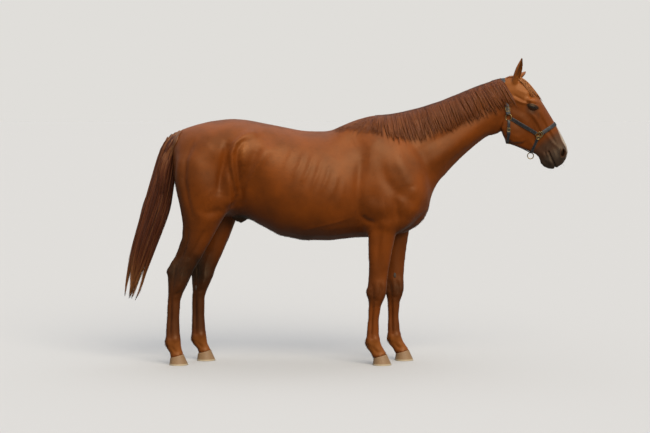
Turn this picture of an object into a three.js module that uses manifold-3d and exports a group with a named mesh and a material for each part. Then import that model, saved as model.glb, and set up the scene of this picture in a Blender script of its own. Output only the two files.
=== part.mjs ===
// A life-size chestnut riding horse, standing, in a leather headcollar.
// Millimetres. +X is the way the horse faces, +Y its left side, +Z up, and the floor is Z = 0.
// The flesh is a union of lofted bodies, parted by thin cuts into head, neck, trunk and legs.
import * as THREE from "three";
import { mergeVertices } from "three/addons/utils/BufferGeometryUtils.js";
import Module from "manifold-3d";

const wasm = await Module();
wasm.setup();

// ---------------------------------------------------------------- driving sizes
const GAP = 0.4; // clear space between neighbouring pieces
const STRAP = 6; // thickness of the headcollar's leather
const STRAP_WIDTH = 26;
const MANE = 13; // depth of the mane's hair on the neck
const FORELOCK = 14;
const HOOF_LENGTH = 124;
const HOOF_HALF = 60;
const TOE = 31; // the toe stands this far ahead of the coronet
const EYE_RADIUS = 20;
const RING_WIRE = 3.2; // radius of the brass rings' wire
const FORE_Y = 112; // the fore feet stand this far from the middle
const HIND_Y = 108;
// The left legs stand ahead of the right ones by this much: [height, fore leg, hind leg].
const LEADS = [
  [0, 156, 178],
  [110, 149, 153],
  [300, 136, 146],
  [550, 114, 136],
  [700, 104, 116],
  [860, 94, 94],
  [1300, 0, 0],
];

// ---------------------------------------------------------------- lofting
// A station is a cross-section through two outline points in the side view: `top` and `low` are [x, z].
// `half` is its half width, `y` its middle, `widest` the level of that width from low (0) to top (1),
// and `over` and `under` how square the section is above and below that level (2 is an ellipse).
const DEFAULTS = { y: 0, widest: 0.5, over: 2, under: 2 };

function asNumbers(station) {
  const s = { ...DEFAULTS, ...station };
  return [...s.top, ...s.low, s.half, s.y, s.widest, s.over, s.under];
}

function between(p0, p1, p2, p3, t) {
  return p1.map((v, i) => {
    const [a, b, c, d] = [p0[i], v, p2[i], p3[i]];
    return (
      0.5 * (2 * b + (c - a) * t + (2 * a - 5 * b + 4 * c - d) * t * t + (3 * b - a - 3 * c + d) * t * t * t)
    );
  });
}

function ring(numbers, segments, grow) {
  const [tx, tz, lx, lz, half, y, widest, over, under] = numbers;
  const top = new THREE.Vector3(tx, y, tz);
  const low = new THREE.Vector3(lx, y, lz);
  const middle = low.clone().lerp(top, widest);
  const up = top.clone().sub(low).normalize();
  const rise = top.distanceTo(middle) + grow;
  const fall = low.distanceTo(middle) + grow;
  return Array.from({ length: segments }, (_, i) => {
    const angle = (i / segments) * 2 * Math.PI;
    const [side, level] = [Math.sin(angle), Math.cos(angle)];
    const power = 2 / (level > 0 ? over : under);
    const out = Math.sign(side) * Math.abs(side) ** power * (half + grow);
    const climb = Math.sign(level) * Math.abs(level) ** power * (level > 0 ? rise : fall);
    return middle.clone().addScaledVector(up, climb).add(new THREE.Vector3(0, out, 0));
  });
}

function skinned(rings) {
  const segments = rings[0].length;
  const points = rings.flat();
  const ends = [rings[0], rings.at(-1)].map((r) =>
    r.reduce((sum, p) => sum.add(p), new THREE.Vector3()).divideScalar(segments),
  );
  const first = points.push(ends[0]) - 1;
  const last = points.push(ends[1]) - 1;
  const faces = [];
  for (let i = 0; i < segments; i++) {
    const j = (i + 1) % segments;
    faces.push([first, j, i], [last, points.length - 2 - segments + i, points.length - 2 - segments + j]);
    for (let r = 0; r < rings.length - 1; r++) {
      const [a, b] = [r * segments + i, r * segments + j];
      faces.push([a, b, b + segments], [a, b + segments, a + segments]);
    }
  }
  return solidFrom(
    new THREE.BufferGeometry().setFromPoints(points).setIndex(faces.flat()),
  );
}

// Rings run from the first station to the last, `steps` to each span.
function loft(stations, { segments = 16, steps = 2, grow = 0 } = {}) {
  const rows = stations.map(asNumbers);
  const rings = [];
  for (let k = 0; k < rows.length - 1; k++) {
    const around = [rows[Math.max(k - 1, 0)], rows[k], rows[k + 1], rows[Math.min(k + 2, rows.length - 1)]];
    for (let s = 0; s < steps; s++) rings.push(ring(between(...around, s / steps), segments, grow));
  }
  rings.push(ring(rows.at(-1), segments, grow));
  return skinned(rings);
}

// ---------------------------------------------------------------- solids
function solidFrom(geometry) {
  const g = (geometry.index ? geometry.toNonIndexed() : geometry.clone()).deleteAttribute("normal");
  g.deleteAttribute("uv");
  const merged = mergeVertices(g, 1e-3);
  const triVerts = new Uint32Array(merged.index.array);
  const vertProperties = merged.attributes.position.array;
  const solid = new wasm.Manifold(new wasm.Mesh({ numProp: 3, vertProperties, triVerts }));
  if (solid.volume() > 0) return solid;
  for (let i = 0; i < triVerts.length; i += 3)
    [triVerts[i + 1], triVerts[i + 2]] = [triVerts[i + 2], triVerts[i + 1]];
  return new wasm.Manifold(new wasm.Mesh({ numProp: 3, vertProperties, triVerts }));
}

const union = (...solids) => solids.reduce((a, b) => a.add(b));
const largest = (solid) => solid.decompose().sort((a, b) => b.volume() - a.volume())[0];

function slab(size, centre, turn = [0, 0, 0]) {
  const matrix = new THREE.Matrix4().makeRotationFromEuler(new THREE.Euler(...turn, "YXZ"));
  return solidFrom(new THREE.BoxGeometry(...size).applyMatrix4(matrix.setPosition(...centre)));
}

function ball(radii, centre, turn = [0, 0, 0], parts = [10, 5]) {
  const matrix = new THREE.Matrix4().makeRotationFromEuler(new THREE.Euler(...turn));
  matrix.multiply(new THREE.Matrix4().makeScale(...radii)).setPosition(...centre);
  return solidFrom(new THREE.SphereGeometry(1, ...parts).applyMatrix4(matrix));
}

// A side-view outline in X and Z, extruded across from one Y to another.
function prism(outline, fromY, toY) {
  const shape = new THREE.Shape(outline.map(([x, z]) => new THREE.Vector2(x, z)));
  const geometry = new THREE.ExtrudeGeometry(shape, { depth: toY - fromY, bevelEnabled: false });
  return solidFrom(geometry.rotateX(Math.PI / 2).translate(0, toY, 0));
}

// ---------------------------------------------------------------- trunk and neck
// Croup, loin, back, withers and breast along the top; buttock, flank, belly and girth below.
const TRUNK = [
  { top: [-1104, 1395], low: [-1104, 1255], half: 36 },
  { top: [-1096, 1462], low: [-1094, 1140], half: 104, widest: 0.58, over: 2.1, under: 2.2 },
  { top: [-1062, 1508], low: [-1060, 1030], half: 164, widest: 0.6, over: 2, under: 2.2 },
  { top: [-985, 1537], low: [-985, 955], half: 216, widest: 0.62, over: 2, under: 2.1 },
  { top: [-870, 1567], low: [-870, 932], half: 250, widest: 0.64, over: 2, under: 2 },
  { top: [-735, 1583], low: [-735, 945], half: 264, widest: 0.66, over: 2.1, under: 1.9 },
  { top: [-635, 1576], low: [-635, 938], half: 262, widest: 0.65, over: 2.2, under: 1.9 },
  { top: [-545, 1560], low: [-545, 891], half: 262, widest: 0.58, over: 2.2, under: 2 },
  { top: [-420, 1536], low: [-420, 824], half: 280, widest: 0.5, over: 2.1, under: 2.1 },
  { top: [-270, 1507], low: [-270, 794], half: 294, widest: 0.46, over: 2, under: 2.1 },
  { top: [-100, 1503], low: [-100, 791], half: 290, widest: 0.44, over: 1.85, under: 2.1 },
  { top: [70, 1577], low: [70, 810], half: 244, widest: 0.42, over: 1.6, under: 2.1 },
  { top: [180, 1608], low: [180, 812], half: 218, widest: 0.42, over: 1.6, under: 2.1 },
  { top: [290, 1602], low: [290, 816], half: 212, widest: 0.42, over: 1.8, under: 2.1 },
  { top: [395, 1510], low: [395, 842], half: 206, widest: 0.45, over: 2, under: 2.1 },
  { top: [470, 1380], low: [470, 886], half: 186, widest: 0.5, over: 2, under: 2.1 },
  { top: [524, 1240], low: [524, 946], half: 140, widest: 0.5, over: 2, under: 2 },
  { top: [550, 1150], low: [550, 1018], half: 66 },
];

// From inside the withers and breast up to behind the head; `top` is the crest, `low` the throat side.
const NECK = [
  { top: [120, 1560], low: [480, 980], half: 150, widest: 0.36 },
  { top: [225, 1608], low: [538, 1012], half: 174, widest: 0.36, over: 1.6 },
  { top: [345, 1626], low: [572, 1092], half: 144, widest: 0.38, over: 1.6 },
  { top: [480, 1658], low: [612, 1168], half: 112, widest: 0.4, over: 1.65 },
  { top: [610, 1700], low: [682, 1250], half: 91, widest: 0.43, over: 1.7 },
  { top: [740, 1752], low: [762, 1330], half: 78, widest: 0.46, over: 1.8 },
  { top: [858, 1800], low: [846, 1402], half: 70, widest: 0.48, over: 1.9 },
  { top: [950, 1830], low: [920, 1458], half: 66 },
  { top: [1015, 1843], low: [985, 1480], half: 63, widest: 0.55 },
  { top: [1060, 1834], low: [1040, 1520], half: 52, widest: 0.55 },
];

// The shoulder blade, upper arm and triceps stand out from the chest, one on each side.
function shoulder(side, lead, grow) {
  const levels = [
    [1545, 205, 130, 22, 66],
    [1470, 285, 108, 46, 106],
    [1390, 356, 98, 58, 134],
    [1290, 430, 88, 72, 150],
    [1180, 486, 82, 82, 150],
    [1080, 512, 88, 88, 144],
    [990, 492, 104, 84, 138],
    [915, 438, 124, 74, 131],
    [850, 368, 142, 50, 122],
  ];
  const stations = levels.map(([z, front, back, half, y]) => ({
    top: [front + lead * 0.12, z],
    low: [back + lead * 0.25, z],
    half,
    y: side * y,
    over: 2.2,
    under: 2.3,
  }));
  return loft(stations, { segments: 10, steps: 1, grow });
}

// ---------------------------------------------------------------- legs
// Each level: height of the front outline, its x, height of the back outline, its x, half width, y as a share.
const FORELEG = [
  { top: [430, 960], low: [130, 960], half: 70, share: 1.12 },
  { top: [345, 880], low: [138, 870], half: 64, share: 1.12, widest: 0.55 },
  { top: [322, 810], low: [146, 805], half: 58, share: 1.1, widest: 0.55 },
  { top: [304, 730], low: [149, 730], half: 52, share: 1.08 },
  { top: [289, 650], low: [151, 650], half: 46, share: 1.06 },
  { top: [277, 565], low: [149, 565], half: 41, share: 1.04, over: 2.2 },
  { top: [267, 505], low: [143, 505], half: 42, share: 1.03, over: 2.6, widest: 0.6 },
  { top: [263, 465], low: [136, 462], half: 44, share: 1.02, over: 2.8, under: 1.7, widest: 0.62 },
  { top: [253, 425], low: [147, 425], half: 41, share: 1.01, over: 2.6, under: 1.8, widest: 0.6 },
  { top: [234, 382], low: [155, 385], half: 32, share: 1, widest: 0.55 },
  { top: [219, 290], low: [152, 290], half: 26, share: 1, widest: 0.6 },
  { top: [221, 195], low: [139, 195], half: 30, share: 1, widest: 0.58 },
  { top: [228, 152], low: [132, 150], half: 35, share: 1, widest: 0.56 },
  { top: [241, 118], low: [141, 106], half: 32, share: 1, widest: 0.56 },
  { top: [257, 92], low: [168, 72], half: 31, share: 1, widest: 0.52 },
  { top: [270, 69], low: [180, 44], half: 41, share: 1 },
];

const HINDLEG = [
  { top: [-690, 1395], low: [-990, 1400], half: 60, share: 1.55, over: 2.4, under: 2.2 },
  { top: [-668, 1290], low: [-1074, 1320], half: 92, share: 1.52, over: 2.4, under: 2.2 },
  { top: [-672, 1170], low: [-1090, 1200], half: 108, share: 1.44, over: 2.3, under: 2.2 },
  { top: [-700, 1060], low: [-1076, 1090], half: 106, share: 1.38, over: 2.2, under: 2.2 },
  { top: [-742, 980], low: [-1056, 1000], half: 92, share: 1.34, over: 2.1, under: 2.1 },
  { top: [-796, 900], low: [-1042, 905], half: 73, share: 1.28 },
  { top: [-838, 832], low: [-1044, 830], half: 61, share: 1.22, widest: 0.55 },
  { top: [-878, 765], low: [-1060, 760], half: 53, share: 1.17, widest: 0.6 },
  { top: [-914, 698], low: [-1088, 695], half: 45, share: 1.13, widest: 0.62, under: 1.7 },
  { top: [-942, 648], low: [-1118, 650], half: 41, share: 1.1, widest: 0.62, under: 1.6 },
  { top: [-970, 600], low: [-1143, 603], half: 42, share: 1.08, widest: 0.62, under: 1.7 },
  { top: [-992, 552], low: [-1139, 552], half: 46, share: 1.06, widest: 0.6, over: 2.3, under: 1.8 },
  { top: [-1014, 508], low: [-1136, 505], half: 45, share: 1.04, widest: 0.6, over: 2.3 },
  { top: [-1038, 460], low: [-1135, 460], half: 38, share: 1.02, widest: 0.58 },
  { top: [-1054, 412], low: [-1136, 412], half: 30, share: 1, widest: 0.58 },
  { top: [-1061, 295], low: [-1141, 295], half: 27, share: 1, widest: 0.6 },
  { top: [-1057, 195], low: [-1151, 195], half: 32, share: 1, widest: 0.58 },
  { top: [-1052, 152], low: [-1155, 150], half: 36, share: 1, widest: 0.56 },
  { top: [-1050, 118], low: [-1146, 106], half: 33, share: 1, widest: 0.56 },
  { top: [-1044, 92], low: [-1124, 72], half: 31, share: 1, widest: 0.52 },
  { top: [-1037, 68], low: [-1122, 44], half: 40, share: 1 },
];

const FORE = { end: "fore", levels: FORELEG, footY: FORE_Y };
const HIND = { end: "hind", levels: HINDLEG, footY: HIND_Y };

// How far ahead of its right fellow a left leg is at a height.
function leadAt(z, end) {
  const column = end === "fore" ? 1 : 2;
  const above = LEADS.findIndex(([height]) => height >= z);
  if (above === 0) return LEADS[0][column];
  if (above < 0) return 0;
  const [low, high] = [LEADS[above - 1], LEADS[above]];
  return THREE.MathUtils.mapLinear(z, low[0], high[0], low[column], high[column]);
}
const moved = ([x, z], end, left) => [x + (left ? leadAt(z, end) : 0), z];

function leg({ end, levels, footY }, left, grow) {
  const side = left ? 1 : -1;
  const stations = levels.map(({ share, ...level }) => ({
    ...level,
    top: moved(level.top, end, left),
    low: moved(level.low, end, left),
    y: side * footY * share,
  }));
  return loft(stations, { segments: 12, steps: 1, grow });
}

// The hoof hangs from the coronet, which slopes down to the heel, and is flat on the floor.
function hoof({ end, levels, footY }, left) {
  const coronet = levels.at(-1);
  const [front, back] = [moved(coronet.top, end, left), moved(coronet.low, end, left)];
  const toe = front[0] + TOE;
  const heel = toe - HOOF_LENGTH;
  const y = (left ? 1 : -1) * footY;
  const drop = 1.2; // the hoof starts this far below the leg, along the coronet
  const wall = { y, widest: 0.56, over: 2, under: 2.5 };
  return loft(
    [
      { ...wall, top: [front[0] + 1, front[1] - drop], low: [back[0] + 2, back[1] - drop], half: 44 },
      { ...wall, top: [toe - 13, 34], low: [heel + 6, 24], half: 53 },
      { ...wall, top: [toe, 0], low: [heel, 0], half: HOOF_HALF },
    ],
    { segments: 12, steps: 1 },
  );
}

// ---------------------------------------------------------------- head
const HEAD = [
  { top: [985, 1820], low: [985, 1560], half: 44, widest: 0.55 },
  { top: [1040, 1848], low: [1018, 1468], half: 62, widest: 0.62 },
  { top: [1106, 1856], low: [1042, 1420], half: 78, widest: 0.66 },
  { top: [1172, 1811], low: [1080, 1404], half: 92, widest: 0.7, over: 2.2, under: 1.9 },
  { top: [1231, 1740], low: [1122, 1385], half: 92, widest: 0.74, over: 2.4, under: 1.8 },
  { top: [1272, 1683], low: [1163, 1366], half: 80, widest: 0.72, over: 2.3, under: 1.8 },
  { top: [1309, 1624], low: [1196, 1352], half: 66, widest: 0.68, over: 2.2 },
  { top: [1346, 1564], low: [1223, 1341], half: 56, widest: 0.64, over: 2.1 },
  { top: [1379, 1507], low: [1246, 1322], half: 50, widest: 0.6, over: 2 },
  { top: [1409, 1452], low: [1258, 1302], half: 50, widest: 0.6, over: 2.1 },
  { top: [1430, 1406], low: [1270, 1284], half: 55, widest: 0.62, over: 2.3, under: 2.2 },
  { top: [1438, 1366], low: [1288, 1268], half: 54, widest: 0.6, over: 2.3, under: 2.2 },
  { top: [1428, 1324], low: [1312, 1257], half: 44, widest: 0.55, over: 2.1 },
  { top: [1405, 1288], low: [1340, 1256], half: 27, widest: 0.5 },
];

// Brow, cheek muscle, nostril and chin, on both sides of the head.
function headLumps(grow) {
  const lumps = [];
  for (const side of [-1, 1]) {
    const grown = (radii) => radii.map((r) => r + grow);
    lumps.push(ball(grown([42, 26, 20]), [1190, side * 78, 1690], [0, 0.35, 0]));
    lumps.push(ball(grown([104, 30, 92]), [1098, side * 46, 1516], [0, 0.6, 0]));
    lumps.push(ball(grown([36, 20, 28]), [1396, side * 41, 1362], [0, 0.87, 0]));
  }
  return union(...lumps, ball([34 + grow, 34 + grow, 24 + grow], [1292, 0, 1292], [0, 0.5, 0]));
}

function headFlesh(grow) {
  return union(loft(HEAD, { segments: 16, steps: 1, grow }), headLumps(grow));
}

// ---------------------------------------------------------------- the whole flesh
const upperFlesh = (grow) => union(loft(NECK, { segments: 16, steps: 1, grow }), headFlesh(grow));

function flesh(grow = 0) {
  const legs = [false, true].flatMap((left) => [
    leg(FORE, left, grow),
    leg(HIND, left, grow),
    shoulder(left ? 1 : -1, left ? leadAt(900, "fore") : 0, grow),
  ]);
  return union(loft(TRUNK, { segments: 24, steps: 1, grow }), upperFlesh(grow), ...legs);
}

// The solids of flesh, parted by thin slabs; each name is given to the body round its place.
function parted(body) {
  const knives = [
    slab([GAP, 400, 640], [1000, 0, 1640], [0, -0.12, 0]), // head from neck
    slab([GAP, 700, 900], [400, 0, 1330], [0, -0.46, 0]), // neck from trunk
  ];
  for (const side of [-1, 1]) {
    knives.push(slab([480, 270, GAP], [280, side * 145, 852], [side * 0.32, 0, 0]));
    knives.push(slab([720, 332, GAP], [-862, side * 160, 1006], [side * 0.12, 0.378, 0]));
  }
  knives.push(slab([720, GAP, 240], [-906, 0, 876], [0, 0.378, 0]));
  const pieces = knives.reduce((rest, knife) => rest.subtract(knife), body).decompose();
  const places = {
    head: [1200, 0, 1560],
    neck: [740, 0, 1540],
    trunk: [-300, 0, 1150],
    foreleg_right: [200, -115, 450],
    foreleg_left: [330, 115, 450],
    hindleg_right: [-1080, -115, 450],
    hindleg_left: [-960, 115, 450],
  };
  const middle = (solid) => {
    const box = solid.boundingBox();
    return new THREE.Vector3(...box.min).add(new THREE.Vector3(...box.max)).multiplyScalar(0.5);
  };
  const whole = pieces.filter((piece) => piece.volume() > 1e6);
  return Object.fromEntries(
    Object.entries(places).map(([name, place]) => {
      const target = new THREE.Vector3(...place);
      const near = (piece) => middle(piece).distanceTo(target);
      return [name, whole.reduce((a, b) => (near(a) < near(b) ? a : b))];
    }),
  );
}

// ---------------------------------------------------------------- ears, eyes
// An ear is a leaf with a hollow front: a loft up its own axis, less a smaller one set forward.
function ear(root, tip, facing) {
  const axis = new THREE.Vector3(...tip).sub(new THREE.Vector3(...root));
  const length = axis.length();
  axis.normalize();
  const front = new THREE.Vector3(...facing).addScaledVector(axis, -axis.dot(new THREE.Vector3(...facing)));
  front.normalize();
  const across = new THREE.Vector3().crossVectors(axis, front);
  const leaf = [
    [-0.12, 20, 24, -4],
    [0.1, 23, 24, -3],
    [0.3, 28, 23, -1],
    [0.5, 28, 20, 2],
    [0.7, 22, 15, 4],
    [0.87, 13, 9, 4],
    [1, 2.5, 2.5, 0],
  ];
  const rings = (shrink, shift, from) =>
    leaf.slice(from).map(([share, half, deep, lean]) => {
      const centre = new THREE.Vector3(...root).addScaledVector(axis, share * length);
      centre.addScaledVector(front, lean + shift);
      return Array.from({ length: 8 }, (_, i) => {
        const angle = (i / 8) * 2 * Math.PI;
        return centre
          .clone()
          .addScaledVector(across, Math.sin(angle) * Math.max(half - shrink, 1))
          .addScaledVector(front, Math.cos(angle) * Math.max(deep - shrink, 1));
      });
    });
  return skinned(rings(0, 0, 0)).subtract(skinned(rings(4, 12, 1)));
}

const EYES = { right: [1200, -84, 1656], left: [1200, 84, 1656] };
const eyeball = (place, radius) => ball([radius, radius, radius], place, [Math.PI / 2, 0, 0], [10, 6]);

// ---------------------------------------------------------------- mane, forelock, tail
const MANE_OUTLINE = [
  [20, 1552],
  [150, 1660],
  [420, 1690],
  [700, 1790],
  [900, 1870],
  [995, 1890],
  [1000, 1850],
  [1030, 1636],
  [1000, 1630],
  [925, 1592],
  [800, 1556],
  [660, 1520],
  [540, 1462],
  [370, 1412],
  [250, 1450],
  [205, 1478],
  [185, 1600],
  [90, 1570],
];
const FORELOCK_OUTLINE = [
  [1033, 1835],
  [1026, 1900],
  [1130, 1900],
  [1215, 1830],
  [1285, 1740],
  [1306, 1650],
  [1278, 1672],
  [1240, 1700],
  [1205, 1722],
  [1165, 1742],
  [1130, 1790],
  [1090, 1828],
];

const TAIL = [
  { top: [-1052, 1522], low: [-1040, 1440], half: 30 },
  { top: [-1106, 1506], low: [-1070, 1405], half: 42 },
  { top: [-1156, 1452], low: [-1089, 1340], half: 52 },
  { top: [-1200, 1340], low: [-1094, 1260], half: 60 },
  { top: [-1254, 1195], low: [-1102, 1135], half: 64 },
  { top: [-1300, 1050], low: [-1112, 1018], half: 64 },
  { top: [-1348, 865], low: [-1180, 858], half: 60 },
  { top: [-1394, 690], low: [-1248, 690], half: 52 },
  { top: [-1420, 550], low: [-1295, 550], half: 38 },
  { top: [-1434, 455], low: [-1315, 455], half: 24 },
  { top: [-1438, 412], low: [-1345, 412], half: 10 },
];

// ---------------------------------------------------------------- headcollar
// Where the rings sit and the straps pass, in the side view.
const UPPER_RING = [1050, 1588];
const NOSE_RING = [1244, 1474];
const THROAT_RING = [1064, 1410];
const LEAD_RING = [1188, 1332];
const POLL = [1014, 1850];
const NOSE_TOP = [1362, 1552];
const THROAT = [1046, 1400];
const CHIN = [1190, 1335];
const RING = 22;
const SMALL_RING = 15;

// The slab that a strap is cut from: along a line in the side view, `trim` off its start and past its end.
function band([x0, z0], [x1, z1], { trim = RING, past = 0, sides = [-160, 160], width = STRAP_WIDTH } = {}) {
  const run = new THREE.Vector2(x1 - x0, z1 - z0);
  const along = run.clone().normalize();
  const middle = along.clone().multiplyScalar((run.length() + trim + past) / 2).add({ x: x0, y: z0 });
  const size = [run.length() - trim + past, sides[1] - sides[0], width];
  return slab(size, [middle.x, (sides[0] + sides[1]) / 2, middle.y], [0, -run.angle(), 0]);
}

// Two solids, the ring and the room it needs, moved along `away` until the room is clear of what it hangs by.
function ringPair(place, away, radius, turn, keepOff) {
  const step = new THREE.Vector3(...away).setLength(0.5);
  const middle = new THREE.Vector3(...place);
  const torus = (wire) => {
    const matrix = new THREE.Matrix4().makeRotationFromEuler(new THREE.Euler(...turn)).setPosition(middle);
    return solidFrom(new THREE.TorusGeometry(radius, wire, 4, 8).applyMatrix4(matrix));
  };
  while (torus(RING_WIRE).intersect(keepOff).volume() > 0) middle.add(step);
  return { ring: torus(RING_WIRE), room: torus(RING_WIRE + GAP) };
}

// ---------------------------------------------------------------- materials
const paint = (name, color, roughness, metalness = 0) =>
  new THREE.MeshStandardMaterial({ name, color, roughness, metalness });
const COAT = paint("coat", "#7a4526", 0.5);
const HAIR = paint("mane", "#6a3a20", 0.55);
const TAIL_HAIR = paint("tail", "#3c2118", 0.55);
const HORN = paint("hoof", "#a67a50", 0.6);
const EYE = paint("eye", "#1b100a", 0.08);
const DARK_SKIN = paint("dark_skin", "#15100e", 0.6);
const LEATHER = paint("leather", "#2a2a2c", 0.5);
const BRASS = paint("brass", "#a08a5c", 0.3, 1);

// ---------------------------------------------------------------- assembly
const horse = new THREE.Group();

function add(name, solid, material) {
  const { numProp, vertProperties, triVerts, numVert } = largest(solid).getMesh();
  const positions = new Float32Array(numVert * 3);
  for (let i = 0; i < numVert; i++)
    positions.set(vertProperties.subarray(i * numProp, i * numProp + 3), i * 3);
  const geometry = new THREE.BufferGeometry()
    .setAttribute("position", new THREE.BufferAttribute(positions, 3))
    .setIndex(new THREE.BufferAttribute(triVerts, 1));
  geometry.computeVertexNormals();
  const mesh = new THREE.Mesh(geometry, material);
  mesh.name = name;
  horse.add(mesh);
}

const body = flesh();
const clear = flesh(GAP);

const parts = parted(body);
const sockets = union(...Object.values(EYES).map((place) => eyeball(place, EYE_RADIUS + GAP)));
for (const [name, solid] of Object.entries(parts))
  add(name, name === "head" ? solid.subtract(sockets) : solid, COAT);
for (const [side, place] of Object.entries(EYES)) add(`eye_${side}`, eyeball(place, EYE_RADIUS), EYE);

const ears = {
  right: ear([1098, -46, 1824], [1128, -66, 1968], [1, -0.75, 0]),
  left: ear([1098, 46, 1824], [1176, 152, 1888], [0.75, 0.3, -1]),
};
for (const [side, solid] of Object.entries(ears)) add(`ear_${side}`, solid.subtract(clear), COAT);

for (const limb of [FORE, HIND])
  for (const left of [false, true])
    add(`hoof_${limb.end}_${left ? "left" : "right"}`, hoof(limb, left), HORN);

// Leather: what lies between the head's surface and the same surface grown by the leather's thickness.
const leather = upperFlesh(STRAP).subtract(clear);
const onEdge = (x) => [Math.PI / 2, 0, x];
const rings = {};
for (const [name, side] of [
  ["right", -1],
  ["left", 1],
]) {
  const away = [0, side, 0];
  rings[`upper_ring_${name}`] = ringPair([UPPER_RING[0], side * 60, UPPER_RING[1]], away, RING, onEdge(0), clear);
  rings[`nose_ring_${name}`] = ringPair([NOSE_RING[0], side * 60, NOSE_RING[1]], away, RING, onEdge(0), clear);
}
const underJaw = [0, 0.42, 0];
rings.throat_ring = ringPair([THROAT_RING[0], 0, THROAT_RING[1]], [-0.4, 0, -0.92], SMALL_RING, underJaw, clear);
const rooms = union(...Object.values(rings).map(({ room }) => room));

const jawLine = [
  [1082, 1440],
  [1066, 1340],
  [1180, 1300],
  [1196, 1400],
];
const straps = {
  crown_strap: band(UPPER_RING, POLL, { past: 40 }),
  noseband: band(NOSE_RING, NOSE_TOP, { past: 40 }),
  cheek_strap_right: band(UPPER_RING, NOSE_RING, { past: -RING, sides: [-160, -2] }),
  cheek_strap_left: band(UPPER_RING, NOSE_RING, { past: -RING, sides: [2, 160] }),
  throat_strap: band(UPPER_RING, THROAT, { past: 30, width: 20 }),
  chin_strap: band(NOSE_RING, CHIN, { past: 20, width: 20 }),
};
const chinRoom = band(NOSE_RING, CHIN, { past: 40, width: 20 + 2 * GAP });
straps.jaw_strap = prism(jawLine, -10, 10).subtract(chinRoom);
let worn = clear;
for (const [name, cut] of Object.entries(straps)) {
  const strap = largest(leather.intersect(cut).subtract(rooms));
  if (name === "chin_strap") worn = worn.add(strap);
  add(name, strap, LEATHER);
}
rings.lead_ring = ringPair([LEAD_RING[0], 0, LEAD_RING[1]], [0, 0, -1], RING - 2, onEdge(0), worn);
for (const [name, { ring }] of Object.entries(rings)) add(name, ring, BRASS);

const maneShell = upperFlesh(MANE).add(loft(TRUNK, { segments: 24, steps: 1, grow: MANE * 0.5 }));
add("mane", maneShell.intersect(prism(MANE_OUTLINE, -170, 16)).subtract(clear), HAIR);
const earRoom = union(...Object.values(ears).map((e) => e.hull()));
const forelock = headFlesh(FORELOCK).intersect(prism(FORELOCK_OUTLINE, -52, 40));
add("forelock", forelock.subtract(clear).subtract(earRoom), HAIR);

add("tail", loft(TAIL, { segments: 8, steps: 1 }).subtract(clear), TAIL_HAIR);
const sheath = loft(
  [
    { top: [-745, 985], low: [-725, 930], half: 26 },
    { top: [-712, 985], low: [-700, 915], half: 36 },
    { top: [-672, 985], low: [-668, 903], half: 38 },
    { top: [-640, 985], low: [-630, 925], half: 30 },
    { top: [-610, 985], low: [-600, 950], half: 16 },
  ],
  { segments: 8, steps: 1 },
);
add("sheath", sheath.subtract(clear), DARK_SKIN);

export default horse;
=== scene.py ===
"""A life-size chestnut riding horse, standing at rest in a leather headcollar, for a museum's plain floor.

Lengths are in millimetres until a mesh is written. +X is the way the horse faces, +Y is its left side,
+Z is up and the floor is Z = 0. Shapes of flesh are given for the right side and repeated on the left,
where the legs stand further ahead.
"""

from __future__ import annotations

import logging
import math
from contextlib import contextmanager
from dataclasses import dataclass, field, replace
from enum import Enum
from typing import Iterator, Sequence

import bpy
import numpy as np
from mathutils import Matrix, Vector
from mathutils.bvhtree import BVHTree


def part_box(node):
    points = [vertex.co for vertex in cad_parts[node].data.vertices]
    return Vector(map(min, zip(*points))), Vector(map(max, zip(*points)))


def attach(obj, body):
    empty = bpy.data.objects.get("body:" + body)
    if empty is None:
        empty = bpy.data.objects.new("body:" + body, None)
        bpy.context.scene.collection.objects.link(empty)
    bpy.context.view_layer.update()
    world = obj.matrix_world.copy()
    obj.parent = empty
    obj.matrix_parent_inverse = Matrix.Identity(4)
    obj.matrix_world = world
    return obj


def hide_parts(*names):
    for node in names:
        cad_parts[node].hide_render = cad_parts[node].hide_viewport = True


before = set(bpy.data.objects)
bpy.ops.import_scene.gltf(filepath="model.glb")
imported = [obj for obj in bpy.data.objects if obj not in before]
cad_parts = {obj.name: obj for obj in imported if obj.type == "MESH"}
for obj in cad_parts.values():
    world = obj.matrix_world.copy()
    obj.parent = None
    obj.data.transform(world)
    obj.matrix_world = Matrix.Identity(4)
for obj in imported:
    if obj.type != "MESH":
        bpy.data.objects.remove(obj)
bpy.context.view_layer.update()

LOG = logging.getLogger("horse")
MM = 0.001
UP = np.array([0.0, 0.0, 1.0])
ACROSS = np.array([0.0, 1.0, 0.0])
# how many times longer than broad the hair's pattern is, and the breadth of a hair's place on the unwrap
STRETCH = 14.0
PATCH = 0.003

Array = np.ndarray
Piece = bpy.types.Object
Nodes = bpy.types.NodeTree
Point2 = tuple[float, float]
Point3 = tuple[float, float, float]


# ---- small tools
def smooth(values: Array, low: float, high: float) -> Array:
    """Returns an S-shaped step from 0 at `low` to 1 at `high`, which may be the smaller."""
    share = np.clip((values - low) / (high - low), 0.0, 1.0)
    return share * share * (3.0 - 2.0 * share)


def bell(values: Array, middle: float, reach: float) -> Array:
    """Returns 1 at `middle`, falling to nothing some way past `reach`."""
    return np.exp(-(((values - middle) / reach) ** 2))


def unit(vectors: Array) -> Array:
    """Returns vectors of length 1 along the last axis."""
    return vectors / np.maximum(np.linalg.norm(vectors, axis=-1, keepdims=True), 1e-9)


def deselect() -> None:
    """Deselects every object."""
    bpy.ops.object.select_all(action="DESELECT")


def activate(piece: Piece) -> None:
    """Makes a piece the only one selected, and the active one."""
    deselect()
    piece.select_set(True)
    bpy.context.view_layer.objects.active = piece


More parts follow.
